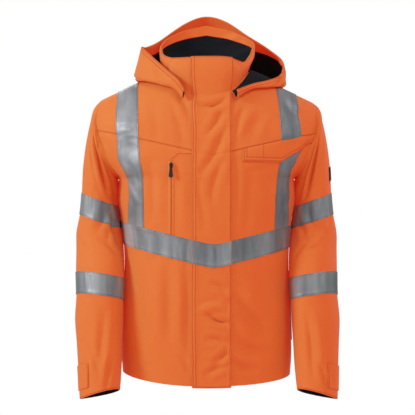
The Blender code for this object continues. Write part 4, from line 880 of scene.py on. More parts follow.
def neckline(front, back):
    """Points, normals and ways out of the torso along the neckline, from the zip round by the left."""
    first, last = (index_of(FRONT_COLUMNS, name) for name in ("chest_zip", "pocket"))
    back_first, back_last = (index_of(BACK_COLUMNS, name) for name in ("neck_side_right", "neck_side_left"))
    ring = []
    for panel, columns in ((front, range(first, last + 1)), (back, range(back_last - 1, back_first, -1))):
        for j in columns:
            edge = panel.points[-1, j]
            ring.append((edge, panel.normals[-1, j], unit(edge - panel.points[-2, j])))
    start = index_of(FRONT_COLUMNS, "zip_left") - first
    ring = ring[start:] + ring[:start]
    return (np.array(parts) for parts in zip(*ring))


def collar_panel(front, back):
    """Collar grid: rows up from the neckline, columns from the zip's left edge round the back."""
    bases, base_normals, away = neckline(front, back)
    angles = np.degrees(np.arctan2(bases[:, 0], -(bases[:, 1] - COLLAR_MIDDLE_Y)))
    top = {name: column(COLLAR_TOP, COLLAR_COLUMNS, name) for name in COLLAR_COLUMNS}
    tops = np.stack([loop_curve(top["angle"], top[name], angles) for name in "xyz"], -1)
    outwards = unit(tops * np.array((1, 1, 0)))
    to_side = np.clip((np.abs(bases[:, :1]) - COLLAR_RAISE_X) / COLLAR_RAISE_OVER, 0, 1)
    raised = away * GAP + base_normals * COLLAR_RAISE * to_side
    rows = []
    for k in range(COLLAR_CELLS + 1):
        up = k / COLLAR_CELLS
        swell = COLLAR_BULGE * math.sin(math.pi * up**BULGE_BEND)
        rows.append(bases * (1 - up) + tops * up + outwards * swell + raised * max(1 - COLLAR_ROWS * up, 0))
    points = np.array(rows)
    normals = grid_normals(points, closed=True)
    shape = points.shape[:2]
    around = np.broadcast_to(angles * COLLAR_MM_PER_DEGREE * MM, shape)
    calm = np.clip(np.arange(shape[0]) / HEAD_TURN, 0, 1)[:, None]
    relief = COLLAR_GAIN * crease_relief(around, points[..., 2], COLLAR_CREASES) * calm
    points = points + normals * relief[..., None]
    normals = grid_normals(points, closed=True)
    for k in range(HEAD_TURN):
        normals[k] = unit(base_normals * (1 - k / HEAD_TURN) + normals[k] * k / HEAD_TURN)
    return Panel(points, normals, (("base", COLLAR_CELLS), ("top", 0)))


def over_shoulder(x, over, lift):
    """A point over the shoulder, lift away from the torso's inner face: over in degrees, minus in front."""
    in_front = over < 0
    bend = FRONT_SHOULDER_POWER if in_front else BACK_SHOULDER_POWER
    turn = math.radians(abs(over))
    half, power = section(np.array(0.0), "half_width"), section(ARMPIT_Z, "squareness")
    across = max(1 - (abs(x) / half) ** power, 0) ** (1 / power)
    depth = float(section(ARMPIT_Z, "front_depth" if in_front else "back_depth")) * across + lift
    rise = float(ridge_height(x)) - ARMPIT_Z + lift * math.hypot(1, RIDGE_SLOPE)
    y = MID_Y + (-1 if in_front else 1) * depth * math.sin(turn) ** (2 / bend)
    return np.array((x, y, ARMPIT_Z + rise * math.cos(turn) ** (2 / bend)))


def over_of(x, z, in_front):
    """The angle over the shoulder of the torso's inner face at (x, z), minus in front."""
    climb = min((z - ARMPIT_Z) / (float(ridge_height(x)) - ARMPIT_Z), 1.0)
    bend = FRONT_SHOULDER_POWER if in_front else BACK_SHOULDER_POWER
    return (-1 if in_front else 1) * math.degrees(math.acos(climb ** (bend / 2)))


def hood_station(at):
    """The hood's section at a position along its stations: points from the neckline to its rim."""
    stations = np.arange(len(HOOD))
    read = {name: float(loop_curve(stations, column(HOOD, HOOD_COLUMNS, name), at)) for name in HOOD_COLUMNS}
    base, in_front = neck_point(read["angle"])
    base_over = over_of(base[0], base[2], in_front)
    span = math.dist(base, over_shoulder(read["fold_x"], read["fold_over"], HOOD_FOLD_LIFT))
    reach = min(HOOD_START / span, 0.5)
    fold_lift = HOOD_FOLD_LIFT + HOOD_BACK_LIFT * min(max(read["fold_over"] / 50, 0), 1)
    lifts = (HOOD_SEAM_LIFT, (HOOD_LIFT + fold_lift) / 2, fold_lift)
    floor = []
    for k in range(HOOD_FINE_FLOOR + 1):
        along = k / HOOD_FINE_FLOOR
        share = reach + (1 - reach) * along
        x = base[0] + (read["fold_x"] - base[0]) * share
        over = base_over + (read["fold_over"] - base_over) * share
        floor.append(over_shoulder(x, over, float(np.interp(along, (0, 0.5, 1), lifts))))
    rim = np.array((read["rim_x"], read["rim_y"], read["rim_z"]))
    outwards = unit(np.array((floor[-1][0], floor[-1][1] - HOOD_MIDDLE_Y, 0.0)))
    rise = np.array((0.0, 0.0, rim[2] - floor[-1][2]))
    first = floor[-1] + outwards * read["bulge"] * HOOD_OUT_LOW - np.array((0, 0, HOOD_SAG * read["bulge"]))
    second = rim + outwards * read["bulge"] * HOOD_OUT_HIGH - rise * HOOD_RIM_DROP
    shares = np.arange(1, HOOD_FINE_WALL + 1)[:, None] / HOOD_FINE_WALL
    wall_points = ((1 - shares) ** 3 * floor[-1] + 3 * shares * (1 - shares) ** 2 * first
                   + 3 * shares**2 * (1 - shares) * second + shares**3 * rim)
    return np.concatenate([np.array(floor), wall_points])


def hood_panel():
    """The hood's creased grid: columns round the neck by the back, rows from its seam to its rim."""
    count = (len(HOOD) - 1) * HOOD_COLUMN_CELLS
    columns = np.array([hood_station(k / HOOD_COLUMN_CELLS) for k in range(count + 1)])
    points = columns.transpose(1, 0, 2)[:, ::-1]
    points = rounded_rows(points, HOOD_FINE_FLOOR)
    normals = grid_normals(points)
    shape = points.shape[:2]
    around = np.broadcast_to(np.linspace(1, 0, shape[1]), shape)
    up = np.broadcast_to(np.linspace(0, 1, shape[0])[:, None], shape)
    relief = HOOD_GAIN * crease_relief(around, up, HOOD_CREASES)
    floor_share = HOOD_FINE_FLOOR / (shape[0] - 1)
    calm = np.clip((up - floor_share) / FOLD_CALM, 0, 1)
    points = points + normals * (relief * calm)[..., None]
    return Panel(points, grid_normals(points))


def rounded_rows(points, row):
    """Rounds the sharp turn at a row by averaging the rows next to it."""
    soft = points.copy()
    for _ in range(HOOD_ROUNDING):
        near = slice(row - 3, row + 6)
        before, after = soft[row - 4 : row + 5], soft[row - 2 : row + 7]
        soft[near] = soft[near] / 2 + (before + after) / 4
    return soft


# --- cloth walls ------------------------------------------------------------------------------
def quads_of(index):
    """The faces between the points of an indexed grid."""
    return np.stack([index[:-1, :-1], index[:-1, 1:], index[1:, 1:], index[1:, :-1]], -1).reshape(-1, 4)


def edge_of(index):
    """The points once round an indexed grid."""
    return np.concatenate([index[0], index[1:, -1], index[-1, -2::-1], index[-2:0:-1, 0]])


def mesh_of(name, places, faces):
    data = bpy.data.meshes.new(name)
    data.from_pydata(places.reshape(-1, 3).tolist(), [], faces.tolist())
    return data


def inset(points, sides, amount):
    """Draws the named sides of a grid of points in along the surface, for the seam's gap."""
    moved = points.copy()
    if "low" in sides:
        moved[0] += unit(points[1] - points[0]) * amount
    if "high" in sides:
        moved[-1] += unit(points[-2] - points[-1]) * amount
    if "first" in sides:
        moved[:, 0] += unit(points[:, 1] - points[:, 0]) * amount
    if "last" in sides:
        moved[:, -1] += unit(points[:, -2] - points[:, -1]) * amount
    return moved


def travelled(points, axis):
    """How far each point of a grid is from the grid's first row or column, along the cloth."""
    steps = np.linalg.norm(np.diff(points, axis=axis), axis=-1)
    start = np.zeros_like(np.take(steps, [0], axis=axis))
    return np.concatenate([start, np.cumsum(steps, axis=axis)], axis=axis)


def supported(points, normals, closed):
    """Adds a row and a column just inside each edge, so that its rounding stays small."""
    both = np.concatenate([points, normals], axis=-1)
    for axis in (0,) if closed else (0, 1):
        both = np.moveaxis(both, axis, 0)
        extra = []
        for edge, near in ((0, 1), (-1, -2)):
            step = np.linalg.norm(both[near, :, :3] - both[edge, :, :3], axis=-1, keepdims=True)
            share = np.minimum(SUPPORT / np.maximum(step, 1e-9), 0.4)
            extra.append(both[edge] + (both[near] - both[edge]) * share)
        both = np.concatenate([both[:1], extra[0][None], both[1:-1], extra[1][None], both[-1:]])
        both = np.moveaxis(both, 0, axis)
    return both[..., :3], unit(both[..., 3:])


def edge_distances(outer, stitched, closed, slot):
    """Distance of each point from the nearest stitched edge, for one line and for a second one."""
    runs = {}
    for axis, names in ((0, ("low", "high")), (1, ("first", "last"))):
        steps = travelled(outer, axis)
        total = steps[-1:] if axis == 0 else steps[:, -1:]
        runs[names[0]], runs[names[1]] = steps, total - steps
    lines = {1: np.full(outer.shape[:2], FAR), 2: np.full(outer.shape[:2], FAR)}
    for name in stitched.split():
        double = name.endswith("2")
        run = runs[name.rstrip("2")]
        lines[1] = np.minimum(lines[1], run)
        if double:
            lines[2] = np.minimum(lines[2], run)
        for inset_by in (EDGE_LINE, SECOND_LINE)[: 1 + double]:
            run_stitches(outer, name.rstrip("2"), run, inset_by, closed, slot)
    return lines[1], lines[2]


def run_stitches(outer, side, run, inset_by, closed, slot):
    """Notes the line that runs inset_by inside an edge, for the sewing thread."""
    grid = outer if side in ("low", "high") else outer.transpose(1, 0, 2)
    run = run if side in ("low", "high") else run.T
    if side in ("high", "last"):
        grid, run = grid[::-1], run[::-1]
    if run[-1].min() < inset_by * 1.5:
        return
    line = []
    for k in range(grid.shape[1]):
        j = int(np.searchsorted(run[:, k], inset_by))
        share = (inset_by - run[j - 1, k]) / (run[j, k] - run[j - 1, k])
        line.append(grid[j - 1, k] * (1 - share) + grid[j, k] * share)
    line = np.array(line + line[:1] if closed and side in ("low", "high") else line)
    THREADS.append((slot, line))


def wall(name, points, normals, start, thickness, slot, closed=False, seams="", seam=GAP / 2, stitched="",
         held="hung", rests_on=(), seam_lines=None, with_pieces=(), declared=True, backed=0.0):
    """A cloth wall with rounded edges on the grid moved out by start: the piece that replaces its solid."""
    points = inset(points, seams.split(), seam)
    points, normals = supported(points, normals, closed)
    rows, lines_across = points.shape[:2]
    inner = points + normals * start
    outer = inner + normals * thickness
    values = cloth_values(outer, edge_distances(outer, stitched, closed, slot), seam_lines, backed)
    count = rows * lines_across
    index = np.arange(count).reshape(rows, lines_across)
    across = np.concatenate([index, index[:, :1]], axis=1) if closed else index
    quads = quads_of(across)
    faces = [quads, quads[:, ::-1] + count]
    outwards = np.zeros_like(points)
    outwards[0] += unit(points[0] - points[1])
    outwards[-1] += unit(points[-1] - points[-2])
    if closed:
        loops = [(index[0], False), (index[-1], True)]
    else:
        outwards[:, 0] += unit(points[:, 0] - points[:, 1])
        outwards[:, -1] += unit(points[:, -1] - points[:, -2])
        loops = [(edge_of(index), False)]
    outwards = unit(outwards).reshape(-1, 3)
    places = [outer.reshape(-1, 3), inner.reshape(-1, 3)]
    total = 2 * count
    for loop, backwards in loops:
        rim = (places[0][loop] + places[1][loop]) / 2 + outwards[loop] * thickness * EDGE_ROUND
        places.append(rim)
        values.append((values[0][loop] + values[1][loop]) / 2)
        ids = total + np.arange(len(loop))
        total += len(loop)
        for near, far in ((loop, ids), (ids, loop + count)):
            strip = np.stack([near, far, np.roll(far, -1), np.roll(near, -1)], -1)
            faces.append(strip[:, ::-1] if backwards else strip)
    values = np.concatenate(values)
    data = mesh_of(name, np.concatenate(places), np.concatenate(faces))
    corner = np.zeros(len(data.loops), dtype=np.int64)
    data.loops.foreach_get("vertex_index", corner)
    flat = values[corner, :2]
    if closed:
        flat = mended(flat.reshape(-1, 4, 2), travelled(outer, 1)[:, -1].max()).reshape(-1, 2)
    data.uv_layers.new(name="cut").data.foreach_set("uv", flat.astype(np.float32).ravel())
    for attribute, value in zip(("first_line", "second_line", "backing", "sewn_line"), values.T[2:]):
        layer = data.attributes.new(attribute, "FLOAT", "POINT")
        layer.data.foreach_set("value", value.astype(np.float32))
    made = piece(name + "_cloth", data, slot, (name,))
    if declared:
        as_sheet(outer, closed, held, rests_on, with_pieces)
    return made


def cloth_values(outer, edge_lines, seam_lines, backed):
    """For the outer and the inner face: the way along the cut, and the values that the material reads."""
    u, v = travelled(outer, 1), travelled(outer, 0)
    sewn_line = np.full(u.shape, FAR)
    for signed in seam_lines(outer) if seam_lines else ():
        sewn_line = sewn_line * signed / (np.abs(sewn_line) + np.abs(signed) + TINY)
    sewn_line = EDGE_LINE + sewn_line * (1 + (sewn_line / SHARP) ** 2)
    dark = (v < backed * v.max()).astype(float)
    return [np.stack([u, v, *edge_lines, backing, sewn_line], -1).reshape(u.size, -1)
            for backing in (0 * dark, dark)]


def flat_lines(*polylines):
    """Stitched lines on the torso, given as x and z along each, for wall's seam_lines."""
    def read(outer):
        for polyline in polylines:
            THREADS.append(("orange", on_surface(outer, polyline)))
            yield signed_distance(outer[..., 0], outer[..., 2], polyline)
    return read


def on_surface(outer, polyline):
    """Points of the outer face along a line given as x and z."""
    flat = outer.reshape(-1, 3)
    out = unit(grid_normals(outer)).reshape(-1, 3)
    line = []
    for (x0, z0), (x1, z1) in zip(polyline, polyline[1:]):
        for share in np.linspace(0, 1, max(2, round(math.hypot(x1 - x0, z1 - z0) / STITCH_PITCH))):
            x, z = x0 + (x1 - x0) * share, z0 + (z1 - z0) * share
            k = int(np.argmin((flat[:, 0] - x) ** 2 + (flat[:, 2] - z) ** 2))
            tilt = out[k, 0] * (x - flat[k, 0]) + out[k, 2] * (z - flat[k, 2])
            line.append((x, flat[k, 1] - tilt / out[k, 1], z))
    return np.array(line)


def column_lines(*columns):
    """Sewn seams that run along columns of the grid, for wall's seam_lines."""
    def read(outer):
        u = travelled(outer, 1)
        for k in columns:
            THREADS.append(("orange", outer[2:-2, k] + (outer[2:-2, k + 1] - outer[2:-2, k]) * SEAM_ASIDE))
            yield u - u[:, k : k + 1]
    return read


def signed_distance(x, z, polyline):
    """Distance in x and z from a line of several stretches, with a sign for its side."""
    best = np.full(x.shape, FAR)
    for (x0, z0), (x1, z1) in zip(polyline, polyline[1:]):
        length = math.hypot(x1 - x0, z1 - z0)
        way_x, way_z = (x1 - x0) / length, (z1 - z0) / length
        along = np.clip((x - x0) * way_x + (z - z0) * way_z, 0, length)
        side = np.sign((z - z0) * way_x - (x - x0) * way_z)
        off = np.hypot(x - x0 - along * way_x, z - z0 - along * way_z)
        best = np.where(off < np.abs(best), np.where(side < 0, -off, off), best)
    return best


def mended(corners, around):
    """Corner coordinates of a closed tube, whose last cell runs on to the whole way round."""
    wide = corners[..., 0].max(axis=1) - corners[..., 0].min(axis=1) > around / 2
    first = corners[..., 0] < around / 2
    corners[..., 0] = np.where(wide[:, None] & first, corners[..., 0] + around * WAY_ROUND, corners[..., 0])
    return corners


def piece(name, data, slot, replaced=(), body="jacket"):
    """Makes the object, gives it its material, ties it to its body and hides the solids it stands for."""
    made = bpy.data.objects.new(name, data)
    bpy.context.scene.collection.objects.link(made)
    data.materials.append(MATERIALS[slot])
    data.shade_smooth()
    tidy = bmesh.new()
    tidy.from_mesh(data)
    bmesh.ops.recalc_face_normals(tidy, faces=tidy.faces)
    tidy.to_mesh(data)
    tidy.free()
    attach(made, body)
    if replaced:
        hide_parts(*replaced)
    return made


def as_sheet(points, closed, held, rests_on, with_pieces):
    """Measures the flat width and length of one layer of the piece, and does nothing with them."""
    grid = np.concatenate([points, points[:, :1]], axis=1) if closed else points
    width = float(travelled(grid, 1)[:, -1].max())
    length = float(travelled(grid, 0)[-1].max())
    list(rests_on)
    list(with_pieces)


# --- sewing thread and zip teeth --------------------------------------------------------------
def length_of(line):
    return np.concatenate([[0], np.cumsum(np.linalg.norm(np.diff(line, axis=0), axis=1))])


def read_along(grid, run, at):
    """The rows of a grid at the distances `at`, where `run` holds the distance of each."""
    return np.stack([np.interp(at, run, grid[:, k]) for k in range(3)], -1)


def thread_pieces():
    """Every stitch along the noted lines, as one piece of thread for each colour of cloth."""
    for slot in ("orange", "tape"):
        starts, ends = [], []
        for own, line in THREADS:
            if own != slot:
                continue
            run = length_of(line)
            at = np.arange(STITCH_PITCH, run[-1] - STITCH_PITCH, STITCH_PITCH)
            starts.append(read_along(line, run, at))
            ends.append(read_along(line, run, at + STITCH_LONG))
        starts, ends = np.concatenate(starts), np.concatenate(ends)
        way = unit(ends - starts)
        side = unit(np.cross(way, np.where(np.abs(way[:, 2:]) > 0.7, (1.0, 0.0, 0.0), (0.0, 0.0, 1.0))))
        other = np.cross(way, side)
        middle = (starts + ends) / 2
        corners = [starts, ends, middle + side * STITCH_HALF, middle + other * STITCH_HALF,
                   middle - side * STITCH_HALF, middle - other * STITCH_HALF]
        ring = ((2, 3), (3, 4), (4, 5), (5, 2))
        shape = np.array([(0, b, a) for a, b in ring] + [(1, a, b) for a, b in ring])
        faces = (shape[None] + 6 * np.arange(len(starts))[:, None, None]).reshape(-1, 3)
        name = f"thread_{slot}"
        piece(name, mesh_of(name, np.stack(corners, 1), faces), name)


def teeth_piece(name, line, across, out, tooth):
    """A zip's teeth along a line, set by turns to either side."""
    pitch, wide, deep, long_way = tooth
    run = length_of(line)
    at = np.arange(pitch, run[-1], pitch)
    middle, side, up = (read_along(grid, run, at) for grid in (line, across, out))
    way = unit(np.cross(side, up))
    turn = np.where(np.arange(len(at)) % 2, 1.0, -1.0)[:, None]
    middle = middle + side * turn * wide * TOOTH_STAGGER
    corners = [middle + side * a * wide / 2 + up * (b * deep / 2)
               + way * c * long_way / 2 * (1 - TOOTH_TAPER * (b > 0))
               for a in (-1, 1) for b in (-1, 1) for c in (-1, 1)]
    shape = np.array(((0, 1, 3, 2), (4, 6, 7, 5), (0, 4, 5, 1), (2, 3, 7, 6), (0, 2, 6, 4), (1, 5, 7, 3)))
    faces = (shape[None] + 8 * np.arange(len(at))[:, None, None]).reshape(-1, 4)
    return piece(name, mesh_of(name, np.stack(corners, 1), faces), "black_zip")


# --- pieces -----------------------------------------------------------------------------------
def build_torso(front, back, on_right):
    """The fronts and yokes, the back and its yoke. The chest zip's pieces are handed to the right front's
    wall, which does not use them.
    """
    for side, first, last, with_pieces in (("right", "side_right", "zip_right", on_right),
                                           ("left", "zip_left", "side_left", ())):
        wall(f"front_{side}", *front.cut("hem", "yoke", first, last), 0, CLOTH, "orange", backed=ALL,
             seams="high first last", seam_lines=flat_lines(*FRONT_STITCHES.get(f"front_{side}", ())),
             with_pieces=with_pieces)
        wall(f"yoke_{side}", *front.cut("yoke", "top", first, last), 0, CLOTH, "orange", backed=ALL,
             seams="low high " + ("last" if side == "right" else "first"), stitched="low")
    wall("back", *back.cut("hem", "yoke", "side_right", "side_left"), 0, CLOTH, "orange", backed=ALL,
         seams="high first last")
    wall("back_yoke", *back.cut("yoke", "top", "side_right", "side_left"), 0, CLOTH, "orange", backed=ALL,
         seams="low high", stitched="low2")


def collar_part(collar, first, last):
    """The collar's grid above the neckline, between two named columns of the front."""
    count = collar.points.shape[1]
    start = index_of(FRONT_COLUMNS, "zip_left")
    around = [(index_of(FRONT_COLUMNS, first) - start + k) % count
              for k in range(index_of(FRONT_COLUMNS, last) - index_of(FRONT_COLUMNS, first) + 1)]
    return collar.points[1:, around], collar.normals[1:, around]


def joined(low, high):
    """Two stacked grids with the same columns as one."""
    return np.concatenate([low[0], high[0]]), np.concatenate([low[1], high[1]])


def build_front_closure(front, collar):
    """The storm flap and the zip under it both run from the hem to the top of the collar."""
    points, normals = joined(front.cut("hem", "top", "zip_right", "zip_left"),
                             collar_part(collar, "zip_right", "zip_left"))
    middle = points.shape[1] // 2
    deep = FRONT_TOOTH[TOOTH_COLUMNS.index("deep")]
    teeth = teeth_piece("front_zip_teeth", points[:, middle] - normals[:, middle] * deep / 2,
                        unit(points[:, middle + 1] - points[:, middle - 1]), -normals[:, middle], FRONT_TOOTH)
    wall("front_zip", points, normals, 0, CLOTH, "black_zip", seams="first last", with_pieces=[teeth])
    points, normals = joined(front.cut("hem", "top", "flap_free", "flap_sewn"),
                             collar_part(collar, "flap_free", "flap_sewn"))
    points[0, :, 2] -= FLAP_DROP
    wall("storm_flap", points, normals, CLOTH + GAP, FLAP, "orange", stitched="first2 last low high",
         held="laid", rests_on=["front_left_cloth", "front_right_cloth"])


def build_tapes(front, back):
    """The braces over the shoulders and the band round the body."""
    on_cloth, on_flap = CLOTH + GAP, CLOTH + GAP + FLAP + GAP
    edges = {"right": ("brace_out_right", "brace_in_right"), "left": ("brace_in_left", "brace_out_left")}
    for name, panel, low, high, side, under in (
        ("front_right", front, "band_top", "top", "right", "front_right_cloth"),
        ("front_left_low", front, "band_top", "flap_low", "left", "front_left_cloth"),
        ("front_left_high", front, "yoke", "top", "left", "yoke_left_cloth"),
        ("back_right", back, "band_top", "top", "right", "back_cloth"),
        ("back_left", back, "band_top", "top", "left", "back_cloth"),
    ):
        wall(f"brace_{name}", *panel.cut(low, high, *edges[side]), on_cloth, TAPE, "tape", seams="low high",
             stitched="first last", held="laid", rests_on=[under])
    for name, panel, first, last, start, under in (
        ("right", front, "side_right", "flap_free", on_cloth, "front_right_cloth"),
        ("flap", front, "flap_free", "flap_sewn", on_flap, "storm_flap_cloth"),
        ("left", front, "flap_sewn", "side_left", on_cloth, "front_left_cloth"),
        ("back", back, "side_right", "side_left", on_cloth, "back_cloth"),
    ):
        wall(f"band_{name}", *panel.cut("band_low", "band_top", first, last), start, TAPE, "tape",
             seams="high first last", stitched="low high", held="laid", rests_on=[under])


def build_pockets(front):
    """The chest pocket's flap, the chest zip between its two lips and the zips of the side pockets."""
    points, normals = front.cut("flap_low", "yoke", "pocket", "side_left")
    points = inset(points, ("last",), POCKET_FLAP_SHORT)
    wall("pocket_flap", points, normals, CLOTH + GAP, FLAP, "orange", seams="low high",
         stitched="low2 first2", seam_lines=flat_lines(*FRONT_STITCHES["pocket_flap"]), held="laid",
         rests_on=["front_left_cloth"])
    middle = index_of(FRONT_COLUMNS, "chest_zip")
    near, out = front.cut("band_top", "flap_low", middle - 1, middle + 1)
    sides = unit(near[:, ::2] - near[:, 1:2])
    centre, out = near[:, 1], out[:, 1]
    strip = np.stack([centre + sides[:, 0] * CHEST_ZIP_WIDTH / 2, centre,
                      centre + sides[:, 1] * CHEST_ZIP_WIDTH / 2], axis=1)
    made = [wall("chest_zip", strip, np.repeat(out[:, None], 3, axis=1), CLOTH + GAP, TAPE * 0.5, "black_zip",
                 seams="low high", seam=GAP, declared=False)]
    made.append(teeth_piece("chest_zip_teeth", centre + out * (CLOTH + GAP + TAPE * 0.5), sides[:, 1], out,
                            CHEST_TOOTH))
    for name, way in (("right", sides[:, 0]), ("left", sides[:, 1])):
        away, lift = np.array(LIPS).T[:, None, :, None]
        grid = centre[:, None] + way[:, None] * away + out[:, None] * (CLOTH + lift)
        grid = grid if name == "left" else grid[:, ::-1]
        made.append(strip_piece(f"chest_zip_lip_{name}", grid, np.repeat(out[:, None], len(LIPS), axis=1),
                                LIP_THICK))
    end = index_of(FRONT_COLUMNS, "side_left")
    for side, first in (("right", 0), ("left", end - SIDE_ZIP_CELLS)):
        points, normals = front.cut("pocket_low", "pocket_high", first, first + SIDE_ZIP_CELLS)
        mid = SIDE_ZIP_CELLS // 2
        teeth = teeth_piece(f"side_zip_teeth_{side}", points[:, mid] + normals[:, mid] * (CLOTH + GAP + TAPE),
                            unit(points[:, mid + 1] - points[:, mid - 1]), normals[:, mid], SIDE_TOOTH)
        wall(f"side_zip_{side}", points, normals, CLOTH + GAP, TAPE, "black_zip", stitched="first last",
             held="laid", rests_on=[f"front_{side}_cloth"], with_pieces=[teeth])
    return made


def strip_piece(name, points, normals, thickness):
    """A narrow closed strip of cloth."""
    rows, lines = points.shape[:2]
    count = rows * lines
    index = np.arange(count).reshape(rows, lines)
    quads, loop = quads_of(index), edge_of(index)
    sides = np.stack([loop, loop + count, np.roll(loop, -1) + count, np.roll(loop, -1)], -1)
    faces = np.concatenate([quads, quads[:, ::-1] + count, sides])
    return piece(name, mesh_of(name, np.stack([points + normals * thickness, points]), faces), "orange")


def rings_between(sleeve, low, high, around=slice(None)):
    """The sleeve between two rings of its table, whole or between two lines down it."""
    low, high = (index_of(sleeve.rows, f"ring_{k}") for k in (low, high))
    return sleeve.points[low : high + 1, around], sleeve.normals[low : high + 1, around]


def build_sleeve(sleeve, side):
    half = sleeve.points.shape[1] // 2
    on_sleeve = {"held": "laid", "rests_on": [f"sleeve_{side}_cloth"]}
    wall(f"sleeve_{side}", sleeve.points, sleeve.normals, 0, CLOTH, "orange", closed=True, backed=ALL,
         stitched="high", seam_lines=column_lines(half, half + half // 3))
    for name, row in (("upper", UPPER_BAND_ROW), ("lower", LOWER_BAND_ROW)):
        wall(f"sleeve_band_{name}_{side}", *rings_between(sleeve, row, row + 1), CLOTH + GAP, TAPE, "tape",
             closed=True, stitched="low high", **on_sleeve)
    wall(f"cuff_lining_{side}", *rings_between(sleeve, CUFF_LINING_ROW, len(SLEEVE_RINGS)),
         -LINING_GAP - FLEECE, FLEECE, "black_fleece", closed=True)
    around = [k % (2 * half) for k in range(round(TAB_FROM * half / 180), round(TAB_TO * half / 180) + 1)]
    wall(f"cuff_tab_{side}", *rings_between(sleeve, TAB_ROW, TAB_ROW + 1, around), CLOTH + GAP,
         FLAP * TAB_SHARE, "orange", stitched="last", **on_sleeve)


def build_sleeve_label(sleeve):
    """A bare woven label on the outside of the left sleeve, and the sleeve pocket's stitches beside it."""
    half = sleeve.points.shape[1] // 2
    start, after = (index_of(sleeve.rows, f"ring_{LABEL_ROW + k}") for k in (0, 1))
    low, high = (start + round(share * (after - start)) for share in LABEL_SPAN)
    first, last = (round(angle * half / 180) for angle in LABEL_ANGLES)
    wall("sleeve_label", sleeve.points[low : high + 1, first : last + 1],
         sleeve.normals[low : high + 1, first : last + 1], CLOTH + LABEL_LIFT, LABEL_THICK, "black_zip",
         stitched="low high first last", held="laid", rests_on=["sleeve_left_cloth"])
    for row, (first, last) in ((high + 1, ARM_POCKET_LOW), (high - 1, ARM_POCKET_HIGH)):
        line = sleeve.points[row, first : last + 1] + sleeve.normals[row, first : last + 1] * CLOTH
        THREADS.append(("tape", line))


def build_collar(collar):
    """The collar's columns run from the zip's left edge round the back to its right edge."""
    between = index_of(FRONT_COLUMNS, "zip_left") - index_of(FRONT_COLUMNS, "zip_right") - 1
    points, normals = collar.points[:, :-between], collar.normals[:, :-between]
    wall("collar", points, normals, 0, CLOTH, "orange", backed=COLLAR_BACKED, seams="first last",
         stitched="high")
    split = COLLAR_CELLS - FACING_CELLS
    lining, facing = inset(points[: split + 1], ("low",), LINING_START), points[split:]
    wall("collar_lining", lining[1:], normals[1 : split + 1], -LINING_GAP - FLEECE, FLEECE, "black_fleece",
         seams="high first last", seam=LINING_SEAM)
    wall("collar_facing", facing, normals[split:], -LINING_GAP - FLEECE, FLEECE, "orange",
         seams="low first last", seam=LINING_SEAM)


def build_hood(hood):
    """The hood's shell, and inside it the lining and the facing along its rim."""
    points, normals = hood.points, hood.normals
    split = len(points) - 1 - HOOD_FINE_FACING
    count = points.shape[1]
    wall("hood", points, normals, 0, CLOTH, "orange", stitched="high2", held="folded",
         rests_on=["yoke_left_cloth", "yoke_right_cloth"],
         seam_lines=column_lines(*(round(count * share) for share in HOOD_SEAMS)))
    wall("hood_lining", points[: split + 1], normals[: split + 1], -LINING_GAP - FLEECE, FLEECE,
         "black_fleece", seams="high", seam=LINING_SEAM, held="folded")
    wall("hood_facing", points[split:], normals[split:], -LINING_GAP - FLEECE, FLEECE, "orange",
         seams="low", seam=LINING_SEAM, held="folded")


